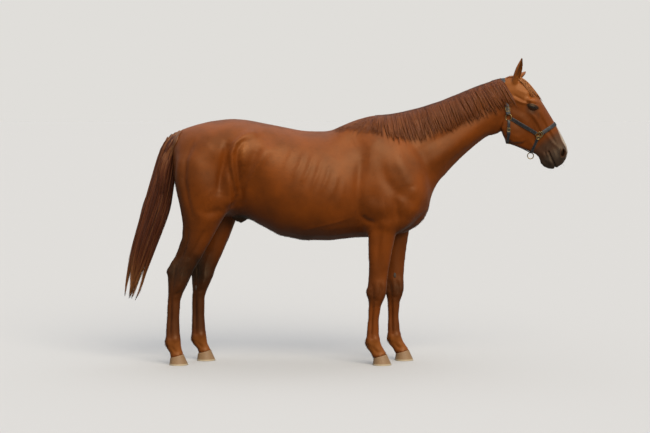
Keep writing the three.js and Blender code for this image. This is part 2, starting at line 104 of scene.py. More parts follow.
@contextmanager
def editing(piece: Piece, mode: str = "VERT") -> Iterator[None]:
    """Holds a piece in edit mode.

    Args:
        piece: The mesh object to edit.
        mode: What is selected: VERT, EDGE or FACE.
    """
    activate(piece)
    bpy.ops.object.mode_set(mode="EDIT")
    bpy.ops.mesh.select_mode(type=mode)
    yield
    bpy.ops.object.mode_set(mode="OBJECT")


def pick(piece: Piece, chosen: Array, mode: str = "VERT") -> None:
    """Selects the vertices or faces of a piece for which `chosen` is true."""
    with editing(piece, mode):
        bpy.ops.mesh.select_all(action="DESELECT")
    parts = piece.data.polygons if mode == "FACE" else piece.data.vertices
    parts.foreach_set("select", chosen)


def face_out(piece: Piece) -> None:
    """Turns the faces of a closed piece outward."""
    with editing(piece):
        bpy.ops.mesh.select_all(action="SELECT")
        bpy.ops.mesh.normals_make_consistent(inside=False)


def bridge(piece: Piece) -> None:
    """Closes the gap between a piece's two open edges."""
    with editing(piece, "EDGE"):
        bpy.ops.mesh.select_all(action="DESELECT")
        bpy.ops.mesh.select_non_manifold(
            extend=False, use_wire=False, use_multi_face=False, use_non_contiguous=False, use_verts=False
        )
        bpy.ops.mesh.bridge_edge_loops()
    face_out(piece)


def even(rows: Array, rounds: int, weight: float = 2.0) -> None:
    """Averages rows, but for the first and the last, with their neighbours, a number of times."""
    for _ in range(rounds):
        rows[1:-1] = (rows[:-2] + weight * rows[1:-1] + rows[2:]) / (2 + weight)


def tube_faces(rings: int, size: int, opened: bool = False) -> Array:
    """Returns the triangles between rings of points, with a fan at each end.

    Args:
        rings: How many rings there are.
        size: Points on each ring.
        opened: Whether the first end stays open.

    Returns:
        (F, 3) vertex numbers; the fans' middles come after the rings, that of the first end first.
    """
    step = np.arange(size)
    after, last, middle = (step + 1) % size, (rings - 1) * size, np.full(size, rings * size)
    low = np.arange(rings - 1)[:, None] * size
    near, far = low + step, low + after
    pairs = np.stack([near, far, far + size, near, far + size, near + size], axis=2)
    faces = [pairs.reshape(rings - 1, size, 2, 3).swapaxes(1, 2).reshape(-1, 3)]
    if not opened:
        faces.append(np.stack([after, step, middle], axis=1))
        middle = middle + 1
    faces.append(np.stack([last + step, last + after, middle], axis=1))
    return np.concatenate(faces)


def read(items: bpy.types.bpy_prop_collection, key: str, width: int, kind: type = float) -> Array:
    """Reads `width` numbers under a name from each vertex, edge, face or corner of a mesh."""
    values = np.empty((len(items), width), dtype=kind)
    items.foreach_get(key, values.ravel())
    return values


def points_of(piece: Piece) -> Array:
    """Returns the piece's vertices in millimetres, as an (N, 3) array."""
    return read(piece.data.vertices, "co", 3) / MM


def normals_of(piece: Piece) -> Array:
    """Returns the piece's vertex normals, as an (N, 3) array."""
    return read(piece.data.vertices, "normal", 3)


def place_points(piece: Piece, points: Array) -> None:
    """Moves the piece's vertices to points given in millimetres."""
    piece.data.vertices.foreach_set("co", (points * MM).ravel())
    piece.data.update()


def mesh_piece(name: str, points: Array, faces: Array) -> Piece:
    """Makes an object from vertices and triangles.

    Args:
        name: The piece's name.
        points: (N, 3) vertices in millimetres.
        faces: (F, 3) or (F, 4) vertex numbers.

    Returns:
        The new object, at the origin.
    """
    mesh = bpy.data.meshes.new(name)
    count, corners = faces.shape
    mesh.vertices.add(len(points))
    mesh.vertices.foreach_set("co", (points * MM).ravel())
    mesh.loops.add(count * corners)
    mesh.loops.foreach_set("vertex_index", faces.ravel().astype(np.int32))
    mesh.polygons.add(count)
    mesh.polygons.foreach_set("loop_start", np.arange(count, dtype=np.int32) * corners)
    mesh.update(calc_edges=True)
    piece = bpy.data.objects.new(name, mesh)
    bpy.context.scene.collection.objects.link(piece)
    return piece


def set_attribute(piece: Piece, name: str, kind: str, values: Array) -> None:
    """Stores one value for each vertex.

    Args:
        piece: The mesh object.
        name: The attribute's name.
        kind: FLOAT, FLOAT_VECTOR or FLOAT_COLOR.
        values: One number, three or four for each vertex.
    """
    attribute = piece.data.attributes.new(name, kind, "POINT")
    key = {"FLOAT": "value", "FLOAT_VECTOR": "vector", "FLOAT_COLOR": "color"}[kind]
    attribute.data.foreach_set(key, np.ascontiguousarray(values, dtype=np.float32).ravel())


def set_uv(piece: Piece, name: str, corners: Array) -> None:
    """Stores a UV map from an (L, 2) array, one row for each face corner."""
    layer = piece.data.uv_layers.new(name=name)
    layer.data.foreach_set("uv", corners.astype(np.float32).ravel())


def corners_of(piece: Piece, size: int = 3) -> Array:
    """Returns the vertex numbers of every face, all of `size` corners."""
    return read(piece.data.loops, "vertex_index", 1, np.int32).reshape(-1, size)


def finish_piece(piece: Piece, finish: Finish, slot: str, *nodes: str) -> Piece:
    """Dresses a piece, shades it smooth and ties it to the horse.

    Args:
        piece: The mesh object.
        finish: Its finish.
        slot: Not used.
        nodes: The CAD nodes that it stands for.

    Returns:
        The same piece.
    """
    piece.data.materials.clear()
    piece.data.materials.append(finish.material())
    activate(piece)
    bpy.ops.object.shade_smooth()
    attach(piece, "root")
    if nodes:
        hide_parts(*nodes)
    triangles = sum(len(p.vertices) - 2 for p in piece.data.polygons)
    LOG.info("%s: %d triangles", piece.name, triangles)
    return piece


def join(pieces: Sequence[Piece], name: str) -> Piece:
    """Joins pieces into the first of them and names it."""
    activate(pieces[0])
    for piece in pieces:
        piece.select_set(True)
    if len(pieces) > 1:
        bpy.ops.object.join()
    pieces[0].name = name
    return pieces[0]


# ---- materials
def linear(code: str) -> tuple[float, float, float, float]:
    """Turns an sRGB colour such as "7a4526" into linear red, green, blue and alpha."""
    parts = [int(code[i : i + 2], 16) / 255 for i in (0, 2, 4)]
    return (*((c / 12.92) if c <= 0.04045 else ((c + 0.055) / 1.055) ** 2.4 for c in parts), 1.0)


def feed(node: bpy.types.Node, inputs: dict) -> None:
    """Gives a node's sockets a number, an sRGB colour, an output, or a node's first output in use."""
    for key, value in inputs.items():
        if isinstance(value, bpy.types.Node):
            value = next(output for output in value.outputs if output.enabled)
        if isinstance(value, bpy.types.NodeSocket):
            node.id_data.links.new(value, node.inputs[key])
        else:
            node.inputs[key].default_value = linear(value) if isinstance(value, str) else value


def add(tree: Nodes, kind: str, inputs: dict | None = None, **settings) -> bpy.types.Node:
    """Adds one node.

    Args:
        tree: The material's node tree.
        kind: The node's type name after ShaderNode.
        inputs: What its sockets, by name or number, are fed.
        settings: Its properties.

    Returns:
        The new node.
    """
    node = tree.nodes.new("ShaderNode" + kind)
    for name, value in settings.items():
        setattr(node, name, value)
    feed(node, inputs or {})
    return node


# The Mix node's numbered sockets for colours.
FACTOR, FIRST, SECOND = 0, 6, 7


@dataclass(frozen=True)
class Finish:
    """A surface finish; each kind below says what it gives the eye."""

    name: str = "finish"

    def surface(self, tree: Nodes) -> dict:
        """Builds the nodes and returns what the shader's sockets are fed."""
        return {}

    def material(self) -> bpy.types.Material:
        """Returns the material, built once and then shared."""
        found = bpy.data.materials.get(self.name)
        if found:
            return found
        made = bpy.data.materials.new(self.name)
        made.use_nodes = True
        made.node_tree.nodes.clear()
        shader = add(made.node_tree, "BsdfPrincipled")
        add(made.node_tree, "OutputMaterial", {"Surface": shader})
        feed(shader, self.surface(made.node_tree))
        return made


@dataclass(frozen=True)
class ChestnutCoat(Finish):
    """Short summer coat, groomed flat: warm red-brown with a soft gloss that breaks along the hair.

    The attribute `tone` holds dark hair and skin with painted shade, grey skin, white hair, and golden hair
    with painted highlights as its four channels, and `lie` holds coordinates that are stretched along the
    lie of the hair.
    """

    name: str = "chestnut_coat"
    red: str = "8e460e"
    deep: str = "733708"
    # dark hair and skin, and the painted shade
    dark: str = "1c0c05"
    grey: str = "3b3029"
    white: str = "bdb4a6"
    # golden hair, and the painted highlights
    golden: str = "ad6a30"
    # a clump of hairs, coarser than one hair so that it shows, and the mottling, in millimetres
    clump: float = 2.2
    mottle: float = 190.0

    def surface(self, tree: Nodes) -> dict:
        """Lays dark (with painted shade), grey, white and golden (with painted highlights) over the red, all
        ragged along the hair.
        """
        tone = add(tree, "Attribute", attribute_name="tone")
        lie = add(tree, "Attribute", attribute_name="lie").outputs["Vector"]
        place = add(tree, "TexCoord").outputs["Object"]
        dark, grey, white = add(tree, "SeparateColor", {0: tone}).outputs
        hair = add(
            tree, "TexNoise", {"Vector": lie, "Scale": 1 / (self.clump * MM), "Detail": 3, "Roughness": 0.6}
        )
        patches = add(tree, "TexNoise", {"Vector": place, "Scale": 1 / (self.mottle * MM), "Detail": 4})
        spread = add(tree, "MapRange", {"Value": patches, "From Min": 0.35, "From Max": 0.65})
        body = add(tree, "Mix", {FACTOR: spread, FIRST: self.red, SECOND: self.deep}, data_type="RGBA")
        streak = add(
            tree, "MapRange",
            {"Value": hair, "From Min": 0.3, "From Max": 0.7, "To Min": 0.9, "To Max": 1.1}
        )
        colour = add(tree, "VectorMath", {0: body, "Scale": streak}, operation="SCALE")
        layers = (
            (tone.outputs["Alpha"], self.golden), (dark, self.dark), (grey, self.grey), (white, self.white)
        )
        for mask, code in layers:
            ragged = add(tree, "Math", {0: hair, 1: 0.5, 2: mask}, operation="MULTIPLY_ADD")
            edge = add(tree, "MapRange", {"Value": ragged, "From Min": 0.42, "From Max": 1.2})
            colour = add(tree, "Mix", {FACTOR: edge, FIRST: colour, SECOND: code}, data_type="RGBA")
        bump = add(tree, "Bump", {"Height": hair, "Strength": 0.16, "Distance": 0.001})
        sheen = {"Sheen Weight": 0.05, "Sheen Roughness": 0.45, "Sheen Tint": "d89a6a"}
        gloss = {"Roughness": 0.46, "Specular IOR Level": 0.62, "Specular Tint": "f2d2ac"}
        return {"Base Color": colour, "Normal": bump, **gloss, **sheen}


@dataclass(frozen=True)
class LongHair(Finish):
    """Mane and tail hair: coarse, glossy strands that run from dark at the root to bleached at the tip.

    The attribute `lock` holds a lock's own shade and the share of its length.
    """

    name: str = "mane_hair"
    root: str = "3c1608"
    middle: str = "68310f"
    tip: str = "9e5b26"
    # a strand's breadth in millimetres, coarser than a hair so that it shows
    strand: float = 1.1

    def surface(self, tree: Nodes) -> dict:
        """Streaks each lock about its own shade."""
        lock = add(tree, "Attribute", attribute_name="lock")
        lie = add(tree, "Attribute", attribute_name="lie").outputs["Vector"]
        own = add(tree, "SeparateColor", {0: lock})
        strands = add(tree, "TexNoise", {"Vector": lie, "Scale": 1 / (self.strand * MM), "Detail": 2})
        shade = add(tree, "Math", {0: strands, 1: 0.55, 2: own}, operation="MULTIPLY_ADD")
        low = add(tree, "MapRange", {"Value": shade, "From Min": 0.15, "From Max": 0.75})
        high = add(tree, "MapRange", {"Value": shade, "From Min": 0.7, "From Max": 1.3})
        dark = add(tree, "Mix", {FACTOR: low, FIRST: self.root, SECOND: self.middle}, data_type="RGBA")
        light = add(tree, "Mix", {FACTOR: high, FIRST: dark, SECOND: self.tip}, data_type="RGBA")
        bump = add(tree, "Bump", {"Height": strands, "Strength": 0.5, "Distance": 0.0008})
        return {"Base Color": light, "Normal": bump, "Roughness": 0.42, "Specular IOR Level": 0.5}


@dataclass(frozen=True)
class Horn(Finish):
    """Hoof and chestnut horn: grown in rings and filed, waxy tan with fine upright streaks."""

    name: str = "hoof_horn"
    light: str = "ac8b66"
    dark: str = "907150"
    pale: str = "cdbd9d"
    # from one growth ring to the next, in millimetres
    ring: float = 7.0

    def surface(self, tree: Nodes) -> dict:
        """Streaks the horn upright, ridges it with growth rings and pales its ground edge."""
        place = add(tree, "TexCoord").outputs["Object"]
        height = add(tree, "SeparateXYZ", {0: place}).outputs["Z"]
        upright = add(tree, "Mapping", {"Vector": place, "Scale": (1.0, 1.0, 0.06)})
        grain = add(tree, "TexNoise", {"Vector": upright, "Scale": 420, "Detail": 4})
        streaks = add(tree, "MapRange", {"Value": grain, "From Min": 0.3, "From Max": 0.7})
        wobble = add(tree, "TexNoise", {"Vector": place, "Scale": 18})
        bent = add(tree, "Math", {0: wobble, 1: 0.012, 2: height}, operation="MULTIPLY_ADD")
        turns = add(tree, "Math", {0: bent, 1: 2 * math.pi / (self.ring * MM)}, operation="MULTIPLY")
        rings = add(tree, "Math", {0: turns}, operation="SINE")
        mixed = add(tree, "Mix", {FACTOR: streaks, FIRST: self.light, SECOND: self.dark}, data_type="RGBA")
        rim = add(tree, "MapRange", {"Value": height, "From Min": 0.011, "From Max": 0.007})
        edged = add(tree, "Mix", {FACTOR: rim, FIRST: mixed, SECOND: self.pale}, data_type="RGBA")
        relief = add(tree, "Math", {0: rings, 1: 0.35, 2: grain}, operation="MULTIPLY_ADD")
        bump = add(tree, "Bump", {"Height": relief, "Strength": 0.25, "Distance": 0.001})
        return {"Base Color": edged, "Normal": bump, "Roughness": 0.5}


@dataclass(frozen=True)
class Leather(Finish):
    """Bridle leather, dyed black and waxed: fine grain, with patches of painted bluish sheen."""

    name: str = "bridle_leather"
    dye: str = "1c1c20"
    bluish_sheen: str = "3c3e46"
    # one pebble of the grain, in millimetres
    grain: float = 1.6

    def surface(self, tree: Nodes) -> dict:
        """Pebbles the leather and lays patches of painted bluish sheen on it."""
        place = add(tree, "TexCoord").outputs["Object"]
        cells = add(tree, "TexVoronoi", {"Vector": place, "Scale": 1 / (self.grain * MM)})
        # patches of painted bluish sheen, laid at random over the dye
        sheen_noise = add(tree, "TexNoise", {"Vector": place, "Scale": 160, "Detail": 5})
        sheen_share = add(tree, "MapRange", {"Value": sheen_noise, "From Min": 0.45, "From Max": 0.75})
        mixed = add(tree, "Mix", {FACTOR: sheen_share, FIRST: self.dye, SECOND: self.bluish_sheen}, data_type="RGBA")
        bump = add(tree, "Bump", {"Height": cells, "Strength": 0.35, "Distance": 0.0006})
        wax = {"Coat Weight": 0.25, "Coat Roughness": 0.3}
        return {"Base Color": mixed, "Normal": bump, "Roughness": 0.42, **wax}


@dataclass(frozen=True)
class Brass(Finish):
    """Cast brass, polished once and dulled by handling: pale gold."""

    name: str = "brass"
    metal: str = "e9e0c8"
    dull: str = "beb08e"

    def surface(self, tree: Nodes) -> dict:
        """Dulls and roughens the metal in patches."""
        place = add(tree, "TexCoord").outputs["Object"]
        tarnish = add(tree, "TexNoise", {"Vector": place, "Scale": 90, "Detail": 6})
        mixed = add(tree, "Mix", {FACTOR: tarnish, FIRST: self.metal, SECOND: self.dull}, data_type="RGBA")
        rough = add(tree, "MapRange", {"Value": tarnish, "To Min": 0.18, "To Max": 0.42})
        return {"Base Color": mixed, "Roughness": rough, "Metallic": 1.0}


@dataclass(frozen=True)
class WetEye(Finish):
    """A horse's eye: a wet clear cornea over a near-black brown iris with faint flecks."""

    name: str = "wet_eye"
    iris: str = "2c1a10"
    pupil: str = "060505"

    def surface(self, tree: Nodes) -> dict:
        """Flecks the iris under a clear wet coat."""
        place = add(tree, "TexCoord").outputs["Object"]
        rays = add(tree, "TexNoise", {"Vector": place, "Scale": 240, "Detail": 4})
        mixed = add(tree, "Mix", {FACTOR: rays, FIRST: self.pupil, SECOND: self.iris}, data_type="RGBA")
        return {"Base Color": mixed, "Roughness": 0.12, "Coat Weight": 1.0, "Coat Roughness": 0.03}


@dataclass(frozen=True)
class Thread(Finish):
    """Waxed linen saddler's thread, off-white gone grey."""

    name: str = "waxed_thread"
    flax: str = "8f8878"
    shaded: str = "6a6458"

    def surface(self, tree: Nodes) -> dict:
        """Twists two greys together."""
        place = add(tree, "TexCoord").outputs["Object"]
        twist = add(tree, "TexNoise", {"Vector": place, "Scale": 900})
        mixed = add(tree, "Mix", {FACTOR: twist, FIRST: self.flax, SECOND: self.shaded}, data_type="RGBA")
        return {"Base Color": mixed, "Roughness": 0.7}


COAT = ChestnutCoat()
MANE_HAIR = LongHair()
TAIL_HAIR = LongHair(name="tail_hair", root="2c1108", middle="6c3517", tip="b27c48")
FORELOCK_HAIR = LongHair(name="forelock_hair", root="5a280c", middle="9a511b", tip="cc8640")
WHISKER_HAIR = LongHair(name="whisker_hair", root="1c140f", middle="2a1f18", tip="6a5a4a")
HORN = Horn()
CHESTNUT_HORN = Horn(name="chestnut_horn", light="5c4b3d", dark="382c24", pale="5c4b3d", ring=2.5)
LEATHER = Leather()
BRASS = Brass()
EYE = WetEye()
THREAD = Thread()


# ---- the body's plan
class Side(Enum):
    """A side of the horse, by the sign of its Y."""

    RIGHT = -1
    LEFT = 1


class Limb(Enum):
    """Whose lead a shape takes on the left side, where the legs stand further ahead."""

    BODY = 0
    FORE = 1
    HIND = 2


class Face(Enum):
    """Which way the skin faces where a shape is laid."""

    OUTER = 1
    INNER = -1
    ROUND = 0


# How far ahead of its right fellow a left leg is: height, fore leg, hind leg.
LEADS = np.array(
    [
        (0, 156, 178), (110, 149, 153), (300, 136, 146), (550, 114, 136), (700, 104, 116), (860, 94, 94),
        (1300, 0, 0)
    ], dtype=float
)


# How far out from the middle line a leg's own line runs.
LEG_OUT = {Limb.FORE: 112.0, Limb.HIND: 108.0}


def folded(points: Array) -> Array:
    """Returns points with both sides of the horse laid on its left."""
    return np.stack([points[:, 0], np.abs(points[:, 1]), points[:, 2]], axis=1)


def lead_at(height: Array | float, limb: Limb, side: Side = Side.LEFT) -> Array:
    """Returns how far ahead of the right leg a leg is at a height."""
    if limb is Limb.BODY or side is Side.RIGHT:
        return np.zeros_like(np.asarray(height, dtype=float))
    return np.interp(height, LEADS[:, 0], LEADS[:, limb.value])


def trace(points: Array, line: Sequence) -> tuple[Array, Array, Array, Array]:
    """Finds where points lie along a line of straight runs, in the side view or in space.

    Args:
        points: (N, 2) or (N, 3) points in millimetres.
        line: The line's own points.

    Returns:
        How far off the line each point is, the nearest place, the length up to it and the direction there.
    """
    line = np.array(line, dtype=float)
    runs = np.diff(line, axis=0)
    sizes = np.linalg.norm(runs, axis=1)
    nearest, length = np.full(len(points), np.inf), np.zeros(len(points))
    foot, direction = np.zeros_like(points), np.zeros_like(points)
    for start, run, size, gone in zip(line, runs, sizes, np.cumsum(sizes) - sizes):
        share = np.clip((points - start) @ run / size**2, 0.0, 1.0)
        place = start + share[:, None] * run
        gap = np.linalg.norm(points - place, axis=1)
        closer = gap < nearest
        nearest[closer], foot[closer] = gap[closer], place[closer]
        length[closer], direction[closer] = gone + share[closer] * size, run / size
    return nearest, foot, length, direction


def length_of(line: Sequence) -> float:
    """Returns the whole length of a line."""
    return float(np.linalg.norm(np.diff(np.array(line, dtype=float), axis=0), axis=1).sum())


@dataclass(frozen=True)
class Part:
    """A length of the body, its middle line and its place in the skin's unwrap.

    The hair lies along the line, from its first point to its last. `tile` is left, bottom, width and height.
    """

    name: str
    line: tuple[Point3, ...]
    tile: tuple[float, float, float, float]

    def around(self, points: Array) -> tuple[Array, Array]:
        """Returns the angle of points round the line, in turns, and their share of its length."""
        _, foot, length, direction = trace(points, self.line)
        away = points - foot
        side = unit(ACROSS - direction * (direction @ ACROSS)[:, None])
        other = np.cross(direction, side)
        angle = np.arctan2((away * side).sum(1), -(away * other).sum(1))
        return angle / (2 * math.pi), length / length_of(self.line)


FORE_LINE = (
    (240, 960), (229, 805), (213, 565), (199, 465), (186, 290), (180, 170), (191, 112), (225, 56), (240, 0)
)
HIND_LINE = (
    (-880, 1300), (-888, 1075), (-941, 831), (-1030, 649), (-1065, 552), (-1095, 412), (-1104, 180),
    (-1098, 112), (-1079, 56), (-1060, 0)
)


def leg_part(name: str, line: Sequence[Point2], limb: Limb, side: Side, tile: tuple) -> Part:
    """Returns a leg's part from its line in the side view."""
    out = side.value * LEG_OUT[limb]
    spots = []
    for x, z in line:
        flare = 1.0 + 0.16 * max(0.0, z - 300) / 560
        spots.append((x + float(lead_at(z, limb, side)), out * flare, z))
    return Part(name, tuple(spots), tile)


HEAD = Part(
    "head", ((1010, 0, 1760), (1110, 0, 1700), (1200, 0, 1580), (1330, 0, 1390), (1400, 0, 1290)),
    (0.0, 0.5, 0.49, 0.49)
)
NECK = Part(
    "neck", ((1060, 0, 1720), (900, 0, 1620), (620, 0, 1440), (330, 0, 1260)), (0.5, 0.75, 0.24, 0.24)
)
TRUNK = Part(
    "trunk", ((620, 0, 1150), (380, 0, 1170), (-250, 0, 1150), (-760, 0, 1260), (-1120, 0, 1290)),
    (0.0, 0.0, 0.49, 0.49)
)
FORE_RIGHT = leg_part("foreleg_right", FORE_LINE, Limb.FORE, Side.RIGHT, (0.5, 0.5, 0.12, 0.24))
FORE_LEFT = leg_part("foreleg_left", FORE_LINE, Limb.FORE, Side.LEFT, (0.62, 0.5, 0.12, 0.24))
HIND_RIGHT = leg_part("hindleg_right", HIND_LINE, Limb.HIND, Side.RIGHT, (0.5, 0.25, 0.12, 0.24))
HIND_LEFT = leg_part("hindleg_left", HIND_LINE, Limb.HIND, Side.LEFT, (0.62, 0.25, 0.12, 0.24))
EAR_RIGHT = Part("ear_right", ((1098, -46, 1824), (1128, -66, 1968)), (0.76, 0.5, 0.1, 0.12))
EAR_LEFT = Part("ear_left", ((1098, 46, 1824), (1176, 152, 1888)), (0.88, 0.5, 0.1, 0.12))
PARTS = (HEAD, NECK, TRUNK, FORE_RIGHT, FORE_LEFT, HIND_RIGHT, HIND_LEFT, EAR_RIGHT, EAR_LEFT)


def belongs(owners: Array, *parts: Part) -> Array:
    """Says which points belong to any of some parts."""
    return np.isin(owners, [PARTS.index(part) for part in parts])


def by_part(owners: Array) -> Iterator[tuple[Part, Array]]:
    """Yields each part that owns points, and which of them are its own."""
    for number, part in enumerate(PARTS):
        if (owners == number).any():
            yield part, owners == number


class Plan:
    """Says which part a point of skin belongs to, how its hair lies and where it is unwrapped."""

    @staticmethod
    def owners(points: Array) -> Array:
        """Returns the number in PARTS of each point's part."""
        x, y, z = points.T
        owner = np.full(len(points), PARTS.index(TRUNK))
        owner[(x - 400) * math.cos(0.46) + (z - 1330) * math.sin(0.46) > 0] = PARTS.index(NECK)
        owner[x - 1000 + (z - 1640) * math.tan(0.12) > 0] = PARTS.index(HEAD)
        for part in (FORE_RIGHT, FORE_LEFT):
            mine = (x > -200) & (z < 856) & (y * part.line[0][1] > 0)
            owner[mine] = PARTS.index(part)
        for part in (HIND_RIGHT, HIND_LEFT):
            mine = (x < -560) & (z < 1006 + (x + 862) * -math.tan(0.378)) & (y * part.line[0][1] > 0)
            owner[mine & (np.abs(y) > 6)] = PARTS.index(part)
        for part in (EAR_RIGHT, EAR_LEFT):
            root, tip = (np.array(p, dtype=float) for p in part.line)
            run = tip - root
            share = (points - root) @ run / (run @ run)
            gap = np.linalg.norm(points - root - share[:, None] * run, axis=1)
            owner[(share > 0.12) & (gap < 45) & (x > 1040)] = PARTS.index(part)
        return owner

    @staticmethod
    def flow(points: Array, owners: Array) -> Array:
        """Returns the direction in which the hair lies at each point, not yet laid on the skin."""
        flow = np.zeros_like(points)
        for part, mine in by_part(owners):
            flow[mine] = trace(points[mine], part.line)[3]
        trunk = belongs(owners, TRUNK)
        drop = smooth(points[trunk, 2], 1500, 950)
        flow[trunk, 2] -= 0.9 * drop
        head = belongs(owners, HEAD)
        flow[head, 0] -= 0.9 * smooth(points[head, 2], 1600, 1440) * smooth(points[head, 0], 1260, 1140)
        return unit(flow)

    @staticmethod
    def lie(points: Array, owners: Array) -> Array:
        """Returns pattern coordinates in metres, stretched along the hair."""
        flow = Plan.flow(points, owners)
        result = np.zeros_like(points)
        for part, mine in by_part(owners):
            _, foot, length, _ = trace(points[mine], part.line)
            away = points[mine] - foot
            along = length + (away * flow[mine]).sum(1) * 0.4
            binormal = np.cross(flow[mine], ACROSS)
            result[mine] = np.stack(
                [points[mine, 1], (points[mine] * unit(binormal)).sum(1), along / STRETCH], axis=1
            )
        return result * MM

    @staticmethod
    def unwrap(points: Array, owners: Array, near: Array | None = None) -> Array:
        """Returns places on the unwrap.

        Args:
            points: (N, 3) points in millimetres.
            owners: Each point's part.
            near: Where given, points in the same faces, whose turn round the part is followed over the seam.

        Returns:
            (N, 2) places.
        """
        places = np.zeros((len(points), 2))
        for part, mine in by_part(owners):
            turn, share = part.around(points[mine])
            if near is not None:
                middle, _ = part.around(near[mine])
                turn = turn + np.round(middle - turn)
            left, bottom, width, height = part.tile
            places[mine, 0] = left + width * (0.5 + 0.94 * turn)
            places[mine, 1] = bottom + height * (0.02 + 0.96 * share)
        return places


# ---- markings, painted shade and painted highlights
class MarkingsAndPaintedLight:
    """The chestnut's markings with painted shade and highlights, the same for skin and hair: where it is
    dark, grey, white or golden.
    """

    @staticmethod
    def tones(points: Array, normals: Array) -> Array:
        """Returns dark, grey, white and golden as four channels.

        Args:
            points: (N, 3) points in millimetres.
            normals: The skin's normals there.
        """
        x, y, z = points.T
        side = np.abs(y)
        head = smooth(x, 960, 1010)
        below = smooth(z, 900, 600) * (1 - head)
        # the lower legs are darker, the hind ones darker still as painted shade
        dark = (0.3 + 0.09 * smooth(x, 0, -600)) * below * smooth(z, 110, 230)
        # darker at the knees, and at the hocks as painted shade
        knee = bell(z, 470, 70) * smooth(x, 0, 60)
        hock = bell(z, 570, 95) * smooth(x, -700, -760)
        dark += (0.26 * knee + 0.22 * hock) * (1 - head)
        # painted shade in the hollow before the point of the hip
        dark += 0.28 * bell(x, -485, 75) * bell(z, 1500, 38)
        # painted shade on the hindquarters below the croup, turned from the light
        dark += 0.21 * smooth(x, -780, -960) * smooth(z, 1500, 1380)
        # painted shade on skin that faces inward, between the legs
        inner = smooth(-normals[:, 1] * np.sign(y), 0.1, 0.7) * smooth(z, 1250, 1050) * (1 - head)
        dark += 0.1 * inner
        # painted shade under the belly and the chest
        under = smooth(-normals[:, 2], 0.3, 0.85) * smooth(z, 1150, 950) * (1 - head)
        dark += 0.45 * under * smooth(x, 560, 420)
        # painted shade on the back of the quarters, away from the light
        quarters = smooth(x, -960, -1080) * smooth(z, 1350, 1150) * smooth(z, 700, 850)
        dark += 0.42 * quarters
        # painted shade on the back of the gaskin
        dark += 0.28 * smooth(x, -880, -1010) * smooth(z, 1150, 900) * smooth(z, 500, 760)
        # painted shade under the neck near the throat
        dark += 0.35 * smooth(z, 1420, 1330) * smooth(x, 700, 960) * smooth(x, 1040, 980)
        down_nose = (x - 1100) * 0.55 - (z - 1700) * 0.835
        muzzle = smooth(down_nose, 276, 352) * head
        grey = muzzle * (0.8 + 0.2 * smooth(down_nose, 370, 450))
        for eye in Eyes.centres():
            away = points - eye
            along, rise = away @ np.array([0.95, 0, -0.31]), away @ np.array([0.31, 0, 0.95])
            bare = smooth(np.hypot(along / 52, (rise + 16) / 42), 1.4, 0.2) * head
            # the slit: dark lid margins, with painted shade in the slit itself
            slit = smooth(np.hypot(along / 36, (rise - 1) / 14), 1.7, 0.3) * head
            grey = np.maximum(grey, (0.66 - 0.45 * slit) * bare)
            dark = dark + 0.95 * slit
        tear = Ridge(((1222, 1640), (1238, 1604), (1246, 1576)), 15, 0.4).lift(points[:, [0, 2]])
        grey = np.maximum(grey, tear * head)
        front = smooth(normals @ unit(np.array([0.85, 0.0, 0.45])), 0.25, 0.6)
        width = 17 + 12 * smooth(z, 1520, 1420)
        blaze = smooth(side, width + 9, width - 3) * smooth(z, 1556, 1536) * smooth(z, 1318, 1345)
        blaze = blaze * front * head
        # painted highlight on the pad of the flank
        golden = 0.45 * bell(x, -645, 50) * bell(z, 1390, 75)
        golden += 0.5 * smooth(z, 200, 140) * smooth(z, 40, 80) * (1 - head)
        # painted highlight on the top of the head
        golden += 0.5 * head * smooth(z, 1600, 1740)
        # the black skin of the sheath, made darker still as painted shade
        sheath = smooth(np.hypot((x + 650) / 74, y / 62), 1.25, 0.9) * smooth(z, 1060, 1015)
        dark += 1.2 * sheath
        grey *= 1 - blaze
        # painted shade deep in the nostrils
        gap = np.linalg.norm((folded(points) - [1398, 48, 1360]) * [1.1, 0.9, 0.72], axis=1)
        nostril = smooth(gap, 23, 15) * head
        dark = np.maximum(dark * (1 - muzzle), nostril)
        grey *= 1 - 0.85 * nostril
        ear = smooth(z, 1822, 1850) * smooth(x, 1050, 1075) * (1 - smooth(side, 170, 180))
        for shape in EARS.values():
            axis, facing, _, length = shape.frame()
            share = (points - np.array(shape.root)) @ axis / length
            cup = smooth(normals @ facing, 0.05, 0.5) * smooth(share, 0.12, 0.3) * ear
            off_axis = points - np.array(shape.root) - np.outer(share * length, axis)
            near = smooth(np.linalg.norm(off_axis, axis=1), 44, 34)
            dark = np.maximum(dark, 0.62 * cup * near)
        result = np.stack([dark, grey, blaze, golden], axis=1)
        return np.clip(result, 0.0, 1.0)


# ---- shapes laid on the skin
@dataclass(frozen=True)
class Ridge:
    """A soft ridge along a path in the side view, or a groove where `rise` is below zero."""

    path: tuple[Point2, ...]
    reach: float
    rise: float
    limb: Limb = Limb.BODY
    face: Face = Face.OUTER
    tapered: bool = True

    def lift(self, places: Array) -> Array:
        """Returns how far each (x, z) place is lifted, in millimetres."""
        nearest, _, length, _ = trace(places, self.path)
        height = self.rise * bell(nearest, 0, self.reach)
        if self.tapered:
            share = length / length_of(self.path)
            height *= np.sqrt(np.clip(4 * share * (1 - share) + 0.12, 0.0, 1.0))
        return height


